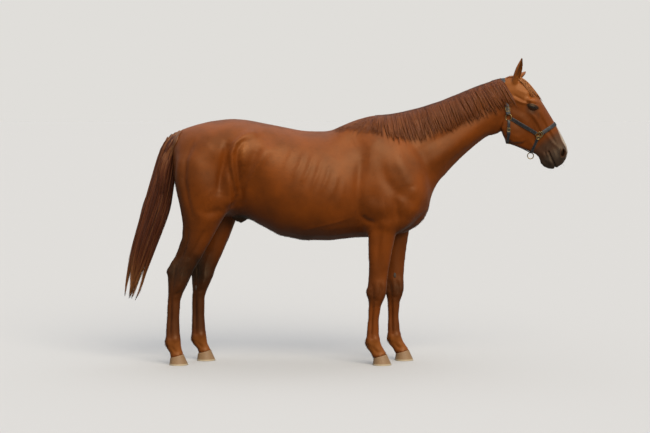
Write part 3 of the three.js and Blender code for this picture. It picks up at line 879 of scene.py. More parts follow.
@dataclass(frozen=True)
class Mass:
    """A raised field with an outline in the side view, whose edge falls away over `soft` millimetres."""

    path: tuple[Point2, ...]
    soft: float
    rise: float
    limb: Limb = Limb.BODY
    face: Face = Face.OUTER

    def lift(self, places: Array) -> Array:
        """Returns how far each (x, z) place is lifted, in millimetres."""
        outline = np.array([*self.path, self.path[0]], dtype=float)
        nearest = trace(places, outline)[0]
        inside = np.zeros(len(places), dtype=bool)
        for start, end in zip(outline, outline[1:]):
            crosses = (start[1] > places[:, 1]) != (end[1] > places[:, 1])
            with np.errstate(divide="ignore", invalid="ignore"):
                at = start[0] + (places[:, 1] - start[1]) * (end[0] - start[0]) / (end[1] - start[1])
            inside ^= crosses & (places[:, 0] < at)
        depth = np.where(inside, nearest, -nearest)
        return self.rise * smooth(depth, -0.5 * self.soft, 0.5 * self.soft)


Shape = Ridge | Mass


def ahead(shape: Shape) -> Shape:
    """Returns the same shape for the left side, moved ahead by its limb's lead."""
    moved = tuple((x + float(lead_at(z, shape.limb)), z) for x, z in shape.path)
    return replace(shape, path=moved)


def model(points: Array, normals: Array, shapes: Sequence[Shape]) -> Array:
    """Lays shapes on the skin, on both sides of the horse.

    Args:
        points: (N, 3) points in millimetres.
        normals: The skin's normals there.
        shapes: The shapes, given for the right side.

    Returns:
        The moved points.
    """
    places = points[:, [0, 2]]
    lifts = np.zeros(len(points))
    for side in Side:
        facing = normals[:, 1] * side.value
        for shape in shapes:
            laid = ahead(shape) if side is Side.LEFT else shape
            path = np.array(laid.path)
            room = 3 * getattr(laid, "reach", 0) + getattr(laid, "soft", 0)
            low, high = path.min(0) - room, path.max(0) + room
            near = ((places > low) & (places < high)).all(axis=1)
            near &= points[:, 1] * side.value > -0.01
            chosen = np.flatnonzero(near)
            if not len(chosen):
                continue
            lift = laid.lift(points[chosen][:, [0, 2]])
            if laid.face is not Face.ROUND:
                lift *= smooth(facing[chosen] * laid.face.value, -0.1, 0.45)
            lifts[chosen] += lift
    return points + normals * lifts[:, None]


def mass(soft: float, rise: float, *path: Point2) -> Shape:
    """Returns a mass on the body from its numbers and the points of its outline."""
    return Mass(path, soft, rise)


def ridges(limb: Limb, face: Face, *rows: tuple) -> list[Shape]:
    """Returns ridges on one limb, each given by its reach, its rise and the points of its path."""
    return [Ridge(tuple(path), reach, rise, limb, face) for reach, rise, *path in rows]


# The ribs that show: top and foot in the side view, and how strongly each shows.
RIBS = (
    ((-6, 1190), (-40, 1040), 0.7), ((-50, 1232), (-92, 1090), 1.0), ((-98, 1280), (-152, 1120), 1.3),
    ((-150, 1320), (-214, 1140), 1.5), ((-205, 1350), (-270, 1180), 1.5), ((-262, 1362), (-326, 1210), 1.3),
    ((-330, 1390), (-386, 1270), 0.9)
)


def ribs() -> list[Shape]:
    """Returns the ribs, strongest in the middle of the barrel."""
    made = []
    for top, foot, strength in RIBS:
        middle = ((top[0] + foot[0]) / 2 + 6, (top[1] + foot[1]) / 2)
        made.append(Ridge((top, middle, foot), 17, 3.4 * strength))
    return made


BODY_SHAPES: list[Shape] = [
    *ribs(),
    *ridges(
        Limb.BODY, Face.OUTER,
        # the flank: its fold, the arched groove and the pad inside it, the point of the hip, the hollow
        # before it, the last rib's edge and the groove behind that
        (17, 19, (-650, 1462), (-694, 1424), (-716, 1354), (-712, 1275), (-698, 1197), (-686, 1110)),
        (18, -7, (-612, 1436), (-648, 1428), (-674, 1390), (-682, 1316), (-677, 1232), (-670, 1120)),
        (27, 10, (-642, 1400), (-643, 1345), (-640, 1280)),
        (27, 11, (-650, 1470), (-600, 1480), (-556, 1490)),
        (27, -17, (-556, 1376), (-584, 1300), (-624, 1216), (-655, 1130), (-668, 1060)),
        (26, -23, (-747, 1430), (-750, 1396), (-768, 1304), (-784, 1214), (-798, 1116)),
        (40, 13, (-427, 1410), (-500, 1370), (-552, 1310), (-602, 1234), (-630, 1150), (-622, 1050)),
        (40, -7, (-520, 1500), (-470, 1450), (-440, 1380)),
        # croup, haunch and thigh
        (46, -6, (-660, 1500), (-760, 1470), (-850, 1390)),
        (66, 10, (-870, 1440), (-940, 1320), (-930, 1180), (-870, 1040)),
        (18, -11, (-965, 1430), (-1008, 1320), (-1018, 1200), (-1000, 1080), (-975, 960)),
        (28, 7, (-1020, 1440), (-1058, 1340), (-1066, 1220), (-1046, 1100)),
        (26, 5, (-800, 1000), (-850, 960), (-880, 900)),
        (5, 2.2, (-850, 1130), (-862, 1090), (-850, 1060), (-866, 1030)),
        (5, 1.8, (-872, 1050), (-884, 1020), (-874, 990)),
        # stifle
        (27, 22, (-748, 1240), (-737, 1160), (-735, 1095), (-748, 1020), (-780, 985)),
        (24, -10, (-704, 1040), (-770, 1000), (-850, 985)),
    ),
    # shoulder blade with its spine, the muscles behind and before it, and the point of the shoulder
    mass(
        130, 11, (125, 1440), (108, 1256), (100, 1090), (112, 965), (180, 935), (262, 955), (302, 1020),
        (290, 1100), (240, 1150), (204, 1230), (196, 1340), (205, 1440),
    ),
    mass(
        80, 9, (310, 1440), (384, 1421), (447, 1332), (498, 1231), (517, 1130), (508, 1050), (470, 985),
        (405, 965), (352, 1000), (352, 1060), (385, 1105), (430, 1150), (371, 1216), (333, 1294),
    ),
    *ridges(
        Limb.BODY, Face.OUTER,
        (40, 4, (312, 1420), (330, 1305), (368, 1214), (420, 1150)),
        (34, -7, (214, 1330), (250, 1200), (310, 1120), (380, 1085), (440, 1035)),
        (28, 4, (380, 1180), (424, 1140), (448, 1100)),
        (36, 7, (384, 1430), (447, 1335), (497, 1231), (517, 1130), (510, 1050)),
        (40, -8, (470, 1400), (506, 1330), (546, 1235), (562, 1140)),
        (32, -14, (104, 1320), (92, 1230), (84, 1130), (84, 1040), (98, 945)),
        (20, -9, (318, 1080), (328, 1010), (336, 930)),
        (14, -9, (335, 838), (430, 885), (510, 975)),
        # triceps and elbow
        (50, 11, (140, 1040), (195, 1010), (255, 1020)),
        (18, -8, (104, 962), (140, 932), (190, 920)),
        (30, 5, (215, 905), (300, 890)),
        # spur vein and the edge of the breast muscle
        (11, 1.7, (80, 970), (0, 938), (-94, 914), (-200, 888), (-300, 862)),
        (44, -2.5, (70, 930), (-20, 900), (-140, 880)),
        # neck: the jugular furrow, the splenius and the brachiocephalic muscle
        (24, -8, (970, 1500), (850, 1420), (720, 1320), (610, 1215)),
        (44, 10, (940, 1590), (800, 1480), (660, 1370), (540, 1290)),
        (30, -6, (960, 1690), (820, 1590), (640, 1470), (520, 1410)),
        (34, 4, (880, 1740), (700, 1660), (480, 1560)),
        # withers and back
        (36, 7, (230, 1560), (60, 1520), (-60, 1480)),
        (50, -7, (60, 1440), (-20, 1400), (-60, 1330)),
    ),
]

LEG_SHAPES: list[Shape] = [
    # fore leg: forearm muscles, knee, tendons and fetlock
    Mass(((300, 930), (310, 820), (280, 640), (240, 620), (225, 800), (235, 930)), 50, 6, Limb.FORE),
    *ridges(
        Limb.FORE, Face.OUTER,
        (19, -4, (226, 900), (214, 760), (204, 640)),
        (24, 5, (176, 880), (172, 760), (168, 640)),
    ),
    *ridges(
        Limb.FORE, Face.ROUND,
        (17, 5, (250, 540), (258, 490), (250, 440)),
        (14, 7, (166, 500), (148, 474), (160, 440)),
        (18, 4, (196, 548), (204, 490), (198, 430)),
        (8, -4.5, (228, 520), (230, 480), (222, 440)),
        (8, -4, (178, 520), (180, 470), (182, 430)),
        (10, -3.5, (220, 425), (206, 415), (186, 420)),
        (9, -6.5, (180, 430), (172, 300), (165, 176)),
        (8, 4.5, (160, 400), (156, 300), (150, 200)),
        (9, 3, (196, 400), (190, 300), (184, 200)),
        (17, 6, (164, 176), (156, 148), (160, 124)),
        (18, 5, (194, 180), (208, 152)),
        (9, -4, (180, 118), (190, 98), (206, 84)),
        (10, 2.5, (205, 118), (226, 90)),
    ),
    # hind leg: gaskin, the hollow before the tendon, hock, tendons and fetlock
    Mass(((-800, 950), (-850, 790), (-930, 680), (-980, 720), (-950, 860), (-930, 980)), 60, 8, Limb.HIND),
    *ridges(
        Limb.HIND, Face.ROUND,
        (13, -12, (-1000, 880), (-1010, 800), (-1040, 720), (-1082, 652)),
        (11, 6, (-1045, 800), (-1072, 720), (-1110, 650), (-1140, 605)),
    ),
    *ridges(
        Limb.HIND, Face.OUTER,
        (13, -7, (-900, 860), (-950, 760), (-1000, 680)),
    ),
    *ridges(
        Limb.HIND, Face.ROUND,
        (16, 5, (-1000, 700), (-1030, 640), (-1040, 590)),
        (16, 5, (-1130, 625), (-1132, 580)),
        (18, 6, (-1044, 600), (-1046, 540), (-1066, 480)),
        (9, -7, (-1082, 640), (-1094, 560), (-1106, 470)),
        (9, -3, (-1060, 470), (-1084, 456), (-1100, 450)),
        (9, -6.5, (-1111, 465), (-1118, 310), (-1123, 180)),
        (8, 4.5, (-1130, 430), (-1135, 300), (-1140, 200)),
        (9, 3, (-1094, 420), (-1098, 310), (-1102, 200)),
        (17, 6, (-1126, 176), (-1134, 148), (-1128, 124)),
        (18, 5, (-1092, 180), (-1078, 152)),
        (9, -4, (-1108, 118), (-1098, 98), (-1082, 84)),
    ),
]

HEAD_SHAPES: list[Shape] = [
    # cheek muscle, its edge and the bars of the jaw
    mass(
        46, 5, (1060, 1640), (1140, 1600), (1200, 1500), (1205, 1420), (1150, 1385), (1070, 1400),
        (1030, 1480), (1030, 1580),
    ),
    *ridges(
        Limb.BODY, Face.OUTER,
        (14, -4, (1196, 1560), (1214, 1490), (1216, 1410)),
        (18, -1.5, (1100, 1560), (1110, 1500), (1140, 1440)),
        (16, 3, (1220, 1385), (1270, 1352), (1300, 1330)),
        # arch of the cheek bone, the groove above it and the hollow over the eye
        (11, 7, (1085, 1706), (1120, 1688), (1160, 1676)),
        (10, -6, (1080, 1730), (1110, 1712), (1146, 1692)),
        (15, -8, (1176, 1726), (1204, 1722)),
        (11, 4, (1158, 1694), (1196, 1702), (1232, 1684)),
        (16, 3, (1100, 1770), (1150, 1750), (1190, 1745)),
        # facial crest, the muscles of the lip and nostril, and the edge of the nose bone
        (12, 4.5, (1178, 1622), (1216, 1584), (1250, 1528), (1272, 1478)),
        (13, -2.5, (1190, 1590), (1226, 1540), (1252, 1480)),
        (14, 3, (1240, 1640), (1275, 1580), (1330, 1490), (1380, 1410)),
        (12, -4, (1250, 1600), (1300, 1510), (1345, 1430)),
        (11, 3, (1290, 1480), (1340, 1420), (1380, 1385)),
        # folds round the corner of the mouth
        (5, 2.2, (1300, 1395), (1296, 1368), (1306, 1342)),
        (4, -1.8, (1290, 1400), (1284, 1368), (1294, 1336)),
        (5, 1.6, (1278, 1404), (1271, 1368), (1280, 1334)),
        (10, 3, (1335, 1385), (1350, 1350), (1365, 1310)),
        (12, 4, (1290, 1318), (1318, 1300), (1335, 1280)),
    ),
]


# ---- eyes
@dataclass
class Eyes:
    """The two eyeballs, deep in lids that are half closed, each pair of lids a ringed patch in the skin."""

    radius: float = 22.0
    place: Point3 = (1199.0, 83.0, 1656.0)
    look: Point3 = (0.16, 1.0, -0.06)
    slit: Point3 = (0.95, 0.0, -0.31)
    half_slit: float = 25.0
    upper: float = 2.2
    lower: float = 5.4
    lid: float = 2.6
    stretch: float = 1.34
    # half length and half height of the patch, and the points round it
    patch: Point2 = (47.0, 35.0)
    spokes: int = 104
    rings: int = 24

    @staticmethod
    def centres() -> list[Array]:
        """Returns the eyes' middles, right and left."""
        x, y, z = Eyes.place
        return [np.array([x, side.value * y, z]) for side in Side]

    def axes(self, side: Side) -> tuple[Array, Array, Array]:
        """Returns the directions along the slit, up across it, and out of the head."""
        mirror = np.array([1.0, side.value, 1.0])
        out = unit(np.array(self.look) * mirror)
        along = np.array(self.slit)
        along = unit(along - out * (along @ out))
        up = np.cross(out, along)
        return along, up if up[2] > 0 else -up, out

    def margins(self, s: Array) -> tuple[Array, Array]:
        """Returns how high the upper and lower lids' margins lie along the slit."""
        arch = np.clip(1 - (np.abs(s) / self.half_slit) ** 2.4, 0.0, 1.0)
        return self.upper * arch, -self.lower * arch

    def ball(self, s: Array, v: Array) -> Array:
        """Returns how far out the eyeball's front lies."""
        return np.sqrt(np.maximum(self.radius**2 - (s / self.stretch) ** 2 - v**2, 4.0)) * 1.03

    def lid_depth(self, s: Array, v: Array, skin: Array) -> Array:
        """Returns how far out the lids lie: over the ball at the slit, level with the skin further off."""
        cover = np.sqrt(np.maximum((self.radius + self.lid) ** 2 - (0.7 * s) ** 2 - v**2, 0.0))
        gap = np.hypot(s * 0.72, v * 1.04)
        # the higher of the two, rounded where they meet
        higher = (cover + skin) / 2 + np.sqrt(((cover - skin) / 2) ** 2 + 1.4**2)
        depth = cover + (higher - cover) * smooth(gap, 11.5, 22)
        above, below = smooth(v, 0, 8), smooth(v, -1, -9)
        crease = 1.6 * bell(gap - 0.05 * s, 17.5, 1.9)
        brow = 1.8 * bell(gap, 24, 6.0)
        second = 0.9 * bell(gap, 12.2, 1.2)
        bag = 1.3 * bell(gap, 14, 3.6) - 0.7 * bell(gap, 20.5, 2.6)
        return depth + above * (brow - crease - second) + below * bag

    def cast(
        self, tree: BVHTree, centre: Array, frame_axes: tuple[Array, Array, Array], spots: Array
    ) -> Array:
        """Returns how far out the skin lies over places on the patch."""
        along, up, out = frame_axes
        depths = np.empty(len(spots))
        for i, (s, v) in enumerate(spots):
            start = centre + along * s + up * v + out * 70
            hit, _, _, distance = tree.ray_cast(Vector(start), Vector(-out))
            depths[i] = 70 - distance if hit else depths[i - 1]
        return depths

    def lids(self, tree: BVHTree, side: Side, centre: Array) -> Piece:
        """Makes one eye's lids as rings from the skin to the slit, and on round the margins to the ball.

        Args:
            tree: The skin before it is opened.
            side: The eye's side.
            centre: The eyeball's middle.

        Returns:
            The lids, open only at their outer ring.
        """
        axes = self.axes(side)
        turn = np.arange(self.spokes) * 2 * math.pi / self.spokes
        s = self.half_slit * np.cos(turn)
        top, bottom = self.margins(s)
        margin = np.stack([s, np.where(np.sin(turn) >= 0, top, bottom)], axis=1)
        outer = np.stack([np.cos(turn) * self.patch[0], np.sin(turn) * self.patch[1]], axis=1)
        rows = []
        for share in np.linspace(1, 0, self.rings) ** 1.5:
            spots = margin + (outer - margin) * share
            skin = self.cast(tree, centre, axes, spots)
            depth = self.lid_depth(spots[:, 0], spots[:, 1], skin)
            depth += (skin - depth) * smooth(np.full(1, share), 0.72, 1.0)
            depth += 0.7 * math.exp(-((share / 0.05) ** 2))
            rows.append((spots, depth))
        lip, edge = rows[-1]
        behind = self.ball(lip[:, 0], lip[:, 1])
        towards = -unit(np.stack([lip[:, 0] * 0.15, lip[:, 1] + 1.6], axis=1))
        for inward, sunk in ((0.35, 0.25), (0.55, 0.6), (0.5, 0.95)):
            rows.append((lip + towards * inward, edge + (behind - edge) * sunk))
        rows.append((lip * 0.97, behind - 1.2))
        rows.append((lip * 0.5, behind - 6.0))
        points = []
        for spots, depth in rows:
            flat = centre + np.outer(spots[:, 0], axes[0]) + np.outer(spots[:, 1], axes[1])
            points.append(flat + np.outer(depth, axes[2]))
        points.append(centre[None] + axes[2] * 8.0)
        name = f"lids_{side.name.lower()}"
        return mesh_piece(name, np.concatenate(points), tube_faces(len(rows), self.spokes, opened=True))

    def fit(self, skin: Piece) -> Piece:
        """Opens the skin over each eye and bridges the lids into it, and returns the skin."""
        for side, centre in zip(Side, Eyes.centres()):
            along, up, out = self.axes(side)
            points = points_of(skin)
            away = points - centre
            near = np.linalg.norm(away, axis=1) < 110
            faces = [tuple(f.vertices) for f in skin.data.polygons if near[f.vertices[0]]]
            tree = BVHTree.FromPolygons(points.tolist(), faces)
            patch = self.lids(tree, side, centre)
            inside = np.hypot(away @ along / (self.patch[0] + 3), away @ up / (self.patch[1] + 3)) < 1
            pick(skin, inside & (away @ out > -30) & near)
            with editing(skin):
                bpy.ops.mesh.delete(type="VERT")
            skin = join([skin, patch], "skin")
            bridge(skin)
        return skin

    def build(self) -> None:
        """Makes each eyeball from a sphere whose front is drawn out into a cornea."""
        for side, centre in zip(Side, Eyes.centres()):
            name = side.name.lower()
            deselect()
            bpy.ops.mesh.primitive_uv_sphere_add(
                segments=48, ring_count=32, radius=self.radius * MM, location=(0, 0, 0)
            )
            ball = bpy.context.object
            ball.name = f"eyeball_{name}"
            along, up, out = self.axes(side)
            with editing(ball):
                bpy.ops.mesh.select_all(action="SELECT")
                bpy.ops.mesh.subdivide(number_cuts=1, smoothness=1.0)
            points = points_of(ball) @ np.stack([along, up, out])
            front = smooth(unit(points) @ out, 0.72, 1.0)
            points *= 1 + 0.03 * front[:, None]
            points += (points @ along)[:, None] * along * (self.stretch - 1)
            place_points(ball, points + centre)
            finish_piece(ball, EYE, "eye", f"eye_{name}")


# ---- ears
@dataclass
class Ear:
    """An ear: a leaf rolled into a cup that opens forwards, on a closed root."""

    root: Point3
    tip: Point3
    facing: Point3
    wall: float = 6.5
    surface: BVHTree | None = None
    # share of the length, half width, half depth, lean to the front, half opening in degrees
    leaf: tuple[tuple[float, ...], ...] = (
        (-0.16, 23, 27, -6, 12), (0.06, 24, 26, -4, 16), (0.2, 26, 25, -2, 30), (0.36, 28.5, 23, 0, 46),
        (0.54, 28, 20, 2, 54), (0.72, 22, 15, 4, 58), (0.88, 13, 9.5, 5, 60), (1.0, 4.5, 4.0, 5, 60)
    )

    def frame(self) -> tuple[Array, Array, Array, float]:
        """Returns the ear's direction, its front, its breadth and its length."""
        run = np.array(self.tip, dtype=float) - np.array(self.root)
        length = float(np.linalg.norm(run))
        axis = run / length
        front = np.array(self.facing, dtype=float)
        front = unit(front - axis * (front @ axis))
        return axis, front, np.cross(axis, front), length

    def build(self, name: str, steps: int = 14) -> Piece:
        """Makes the closed cup.

        Args:
            name: The piece's name.
            steps: Points on each wall of a section.

        Returns:
            The mesh, which is merged into the skin later.
        """
        axis, front, breadth, length = self.frame()
        leaf = np.array(self.leaf)
        levels = np.linspace(leaf[0, 0], leaf[-1, 0], 22)
        rows = np.stack([np.interp(levels, leaf[:, 0], leaf[:, i]) for i in range(1, 5)], axis=1)
        rings = []
        for level, (half, deep, lean, opening) in zip(levels, rows):
            centre = np.array(self.root) + axis * level * length + front * lean
            turns = np.radians(np.linspace(opening, 360 - opening, steps))
            outer = centre + np.outer(np.sin(turns) * half, breadth) + np.outer(np.cos(turns) * deep, front)
            wall = min(self.wall, half * 0.62, deep * 0.62)
            back = turns[::-1]
            inner = centre + np.outer(np.sin(back) * (half - wall), breadth)
            inner += np.outer(np.cos(back) * (deep - wall), front)
            rings.append(np.concatenate([outer, inner]))
        points = np.concatenate(rings)
        size = 2 * steps
        faces = []
        for ring in range(len(rings) - 1):
            for i in range(size):
                a, b = ring * size + i, ring * size + (i + 1) % size
                faces.append((a, b, b + size, a + size))
        last = (len(rings) - 1) * size
        for i in range(steps - 1):
            a, b = i, size - 1 - i
            faces.append((a, b, b - 1, a + 1))
            faces.append((last + a, last + a + 1, last + b - 1, last + b))
        piece = mesh_piece(name, points, np.array(faces))
        face_out(piece)
        return piece


EARS = {
    Side.RIGHT: Ear(root=(1098, -46, 1824), tip=(1128, -66, 1968), facing=(1.0, -0.75, 0.0)),
    Side.LEFT: Ear(root=(1098, 46, 1824), tip=(1176, 152, 1888), facing=(0.75, 0.3, -1.0))
}


# ---- skin
@dataclass
class Skin:
    """One closed skin over head, neck, trunk, legs, ears and sheath."""

    body_voxel: float = 7.5
    head_voxel: float = 3.4
    seam_x: float = 946.0
    coat_depth: float = 2.4
    # how far a node is swollen into its neighbours, the gap bridged at the seam, and the most rounds of
    # smoothing
    swell: float = 0.6
    seam_gap: float = 4.0
    most_rounds: int = 150
    # where lines of sight start, above and beside the horse
    above: float = 2400.0
    beside: float = 900.0
    # the middles of a nostril and of the skin over an eye, on the left
    nostril: Point3 = (1404.0, 50.0, 1360.0)
    eye: Point3 = (1200.0, 98.0, 1656.0)
    most_triangles: int = 190_000
    nodes: tuple[str, ...] = (
        "head", "neck", "trunk", "foreleg_right", "foreleg_left", "hindleg_right", "hindleg_left",
        "ear_right", "ear_left", "sheath"
    )
    piece: Piece | None = None
    tree: BVHTree | None = None

    def copy_node(self, name: str) -> Piece:
        """Returns a merged copy of a CAD node, swollen a little so that it runs into its neighbours."""
        piece = bpy.data.objects.new(f"flesh_{name}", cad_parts[name].data.copy())
        bpy.context.scene.collection.objects.link(piece)
        with editing(piece):
            bpy.ops.mesh.select_all(action="SELECT")
            bpy.ops.mesh.remove_doubles(threshold=1e-5)
        place_points(piece, points_of(piece) + normals_of(piece) * self.swell)
        return piece

    @staticmethod
    def islands(piece: Piece) -> Array:
        """Returns a number for each vertex that is the same throughout each separate surface."""
        a, b = read(piece.data.edges, "vertices", 2, np.int32).T
        labels = np.arange(len(piece.data.vertices))
        while True:
            lower = labels.copy()
            np.minimum.at(lower, a, labels[b])
            np.minimum.at(lower, b, labels[a])
            np.minimum.at(lower, labels, lower)
            lower = lower[lower]
            if (lower == labels).all():
                return labels
            labels = lower

    def shell(self, pieces: list[Piece], voxel: float, name: str) -> Piece:
        """Melts pieces into one closed surface.

        Args:
            pieces: Closed meshes, which are used up.
            voxel: The size of the new surface's squares.
            name: The shell's name.

        Returns:
            The shell, without the bubbles that close inside it.
        """
        shell = join(pieces, name)
        remesh = shell.modifiers.new("melt", "REMESH")
        remesh.mode = "VOXEL"
        remesh.voxel_size = voxel * MM
        activate(shell)
        bpy.ops.object.modifier_apply(modifier=remesh.name)
        labels = self.islands(shell)
        pick(shell, labels != np.bincount(labels).argmax())
        with editing(shell):
            bpy.ops.mesh.delete(type="VERT")
        return shell

    def cut(self, shell: Piece, place: float, keep_front: bool) -> None:
        """Cuts a shell across at X = `place` and keeps one end."""
        with editing(shell):
            bpy.ops.mesh.select_all(action="SELECT")
            bpy.ops.mesh.bisect(
                plane_co=(place * MM, 0, 0), plane_no=(1, 0, 0), clear_inner=keep_front,
                clear_outer=not keep_front
            )

    def melt(self) -> Piece:
        """Returns the rough skin: a coarse body bridged to a fine head."""
        body = self.shell(
            [self.copy_node(n) for n in self.nodes[1:7] + self.nodes[9:]], self.body_voxel, "skin"
        )
        ears = [ear.build(f"leaf_{side.name.lower()}") for side, ear in EARS.items()]
        for ear, piece in zip(EARS.values(), ears):
            ear.surface = BVHTree.FromPolygons(points_of(piece).tolist(), corners_of(piece, 4).tolist())
        front = self.shell(
            [self.copy_node("head"), self.copy_node("neck"), *ears], self.head_voxel, "front"
        )
        self.cut(body, self.seam_x, keep_front=False)
        self.cut(front, self.seam_x + self.seam_gap, keep_front=True)
        skin = join([body, front], "skin")
        bridge(skin)
        return skin

    def softness(self, points: Array) -> Array:
        """Returns how far the rough skin is smoothed at each point, in millimetres."""
        x, y, z = points.T
        soft = np.full(len(points), 42.0)
        legs, feet, head = smooth(z, 960, 760), smooth(z, 130, 70), smooth(x, 935, 1000)
        for level, share in ((12.0, legs), (6.0, feet), (10.0, head)):
            soft = soft * (1 - share) + level * share
        soft[belongs(Plan.owners(points), EAR_RIGHT, EAR_LEFT)] = 2.4
        soft[(np.abs(x + 680) < 70) & (np.abs(y) < 45) & (z < 935)] = 9.0
        return soft

    def relax(self, piece: Piece) -> None:
        """Smooths away the facets of the melted solids without shrinking the form."""
        points = points_of(piece)
        a, b = read(piece.data.edges, "vertices", 2, np.int32).T
        heads, tails = np.concatenate([a, b]), np.concatenate([b, a])
        order = np.argsort(heads, kind="stable")
        tails = tails[order]
        counts = np.bincount(heads, minlength=len(points))
        starts = np.concatenate([[0], np.cumsum(counts)[:-1]])
        spacing = np.where(points[:, 0] < self.seam_x, self.body_voxel, self.head_voxel)
        rounds = np.minimum(2 * self.softness(points) ** 2 / (0.5 * spacing**2), self.most_rounds)

        def spread(values: Array) -> Array:
            """Returns values averaged with their neighbours, each as many times as its place asks."""
            values = values.copy()
            for step in range(int(rounds.max())):
                mean = np.add.reduceat(values[tails], starts) / counts[:, None]
                weight = 0.5 * np.clip(rounds - step, 0.0, 1.0)[:, None]
                values += (mean - values) * weight
            return values

        soft = spread(points)
        points = soft + spread(points - soft)
        for ear in EARS.values():
            self.settle(points, ear)
        place_points(piece, points)

    def settle(self, points: Array, ear: Ear) -> None:
        """Draws the melted points of an ear back on to its leaf, so that the rim is even."""
        axis, _, _, length = ear.frame()
        away = points - np.array(ear.root)
        share = away @ axis / length
        gap = np.linalg.norm(away - share[:, None] * length * axis, axis=1)
        near = np.flatnonzero((share > 0.16) & (gap < 44) & (points[:, 0] > 1040))
        for index in near:
            found, _, _, _ = ear.surface.find_nearest(Vector(points[index]))
            weight = float(smooth(share[index], 0.16, 0.34))
            points[index] += (np.array(found) - points[index]) * weight

    def refine(self, piece: Piece, places: Sequence[Point3], reach: float) -> None:
        """Divides the faces near some places, on both sides, into four."""
        centres = folded(read(piece.data.polygons, "center", 3) / MM)
        chosen = np.zeros(len(centres), dtype=bool)
        for place in places:
            chosen |= np.linalg.norm(centres - np.array(place), axis=1) < reach
        pick(piece, chosen, "FACE")
        with editing(piece, "FACE"):
            bpy.ops.mesh.subdivide(number_cuts=1, ngon=False)

    def nostrils(self, points: Array, normals: Array) -> Array:
        """Sinks the nostrils, each a comma with a raised rim, and returns the moved points."""
        moved = points.copy()
        for side in Side:
            out = unit(np.array([0.66, side.value * 0.75, 0.0]))
            along = unit(np.array([0.16, 0.0, 1.0]))
            along = unit(along - out * (along @ out))
            across = np.cross(out, along)
            away = points - np.array([1404.0, side.value * 52.0, 1360.0])
            near = np.flatnonzero(
                (np.linalg.norm(away, axis=1) < 70) & (away @ out > -30) & (normals @ out > 0.1)
            )
            s, v = away[near] @ along, away[near] @ across * side.value
            v = v + 0.006 * s**2
            narrow = 12.5 + 2.5 * smooth(s, 0, -20)
            ring = np.hypot(s / 27.0, v / narrow)
            hole = -33.0 * np.clip(1 - ring**3, 0.0, 1.0) ** 0.6
            rim = 3.4 * bell(ring, 1.22, 0.24)
            moved[near] += (hole + rim)[:, None] * out
            moved[near] -= (np.clip(1 - ring**3, 0.0, 1.0) * 5.0)[:, None] * np.array([1.0, 0, 0])
        return moved

    def mouth(self, points: Array, normals: Array) -> Array:
        """Draws the line between the lips right round the muzzle, and returns the moved points."""
        lips = Ridge(
            ((1310, 1368), (1318, 1348), (1330, 1322), (1344, 1296), (1356, 1262), (1358, 1240)), 4.2, -8.0,
            face=Face.ROUND, tapered=False
        )
        upper = Ridge(
            ((1326, 1362), (1342, 1330), (1358, 1298), (1372, 1268)), 11, 2.6, face=Face.ROUND,
            tapered=False
        )
        under = Ridge(
            ((1300, 1345), (1312, 1318), (1328, 1290), (1340, 1262)), 9, 2.4, face=Face.ROUND, tapered=False
        )
        return model(points, normals, (upper, under, lips))

    def midline(self, points: Array, normals: Array) -> Array:
        """Sinks what lies on the middle line, and returns the moved points.

        These are the channel under the jaw, the furrow down the croup and back, the gullet between the
        breast muscles and the cleft of the upper lip.
        """
        x, y, z = points.T
        upward, downward = smooth(normals[:, 2], 0.5, 0.8), smooth(-normals[:, 2], 0.3, 0.7)
        forward, backward = smooth(normals[:, 0], 0.2, 0.6), smooth(-normals[:, 0], 0.2, 0.6)
        lift = np.zeros(len(points))
        jaw = smooth(x, 1040, 1080) * smooth(x, 1290, 1240) * downward * smooth(z, 1480, 1440)
        lift -= 12 * jaw * bell(y, 0, 17)
        back = smooth(x, -1080, -1000) * smooth(x, -60, -250) * upward * smooth(z, 1400, 1480)
        lift -= 3.5 * back * bell(y, 0, 22)
        breast = smooth(x, 440, 500) * smooth(z, 930, 990) * smooth(z, 1230, 1130) * forward
        lift -= 14 * breast * bell(y, 0, 22)
        rump = smooth(x, -1000, -1060) * backward * smooth(z, 1010, 1080) * smooth(z, 1400, 1330)
        lift -= 26 * rump * bell(y, 0, 26)
        lip = smooth(x, 1395, 1415) * smooth(z, 1270, 1290) * smooth(z, 1340, 1310)
        lift -= 2.0 * lip * bell(y, 0, 4)
        return points + normals * lift[:, None]

    def build(self) -> Piece:
        """Makes the skin, models its forms on it and dresses it."""
        skin = self.melt()
        LOG.info("melted skin: %d faces", len(skin.data.polygons))
        self.relax(skin)
        eye = Eyes.place
        lips = [
            (1312.0, 40.0, 1360.0), (1330.0, 36.0, 1322.0), (1346.0, 24.0, 1290.0), (1354.0, 6.0, 1266.0)
        ]
        self.refine(skin, [(eye[0], 96.0, eye[2])], 62)
        self.refine(skin, [self.nostril], 44)
        self.refine(skin, lips, 26)
        depth = self.coat_depth
        points, normals = points_of(skin), normals_of(skin)
        thin = 1 - 0.6 * smooth(points[:, 0], 980, 1100) - 0.5 * smooth(points[:, 2], 700, 400)
        points = model(
            points - normals * (depth * thin)[:, None], normals, BODY_SHAPES + LEG_SHAPES + HEAD_SHAPES
        )
        place_points(skin, self.midline(points, normals))
        for shape in (self.nostrils, self.mouth):
            place_points(skin, shape(points_of(skin), normals_of(skin)))
        skin = Eyes().fit(skin)
        with editing(skin, "FACE"):
            bpy.ops.mesh.select_all(action="SELECT")
            bpy.ops.mesh.quads_convert_to_tris()
        thinner = skin.modifiers.new("thin", "DECIMATE")
        self.guard(skin, thinner)
        activate(skin)
        bpy.ops.object.modifier_apply(modifier=thinner.name)
        self.mark(skin)
        self.piece = finish_piece(skin, COAT, "coat", *self.nodes)
        self.tree = BVHTree.FromPolygons(
            points_of(skin).tolist(), corners_of(skin).tolist(), all_triangles=True
        )
        return skin

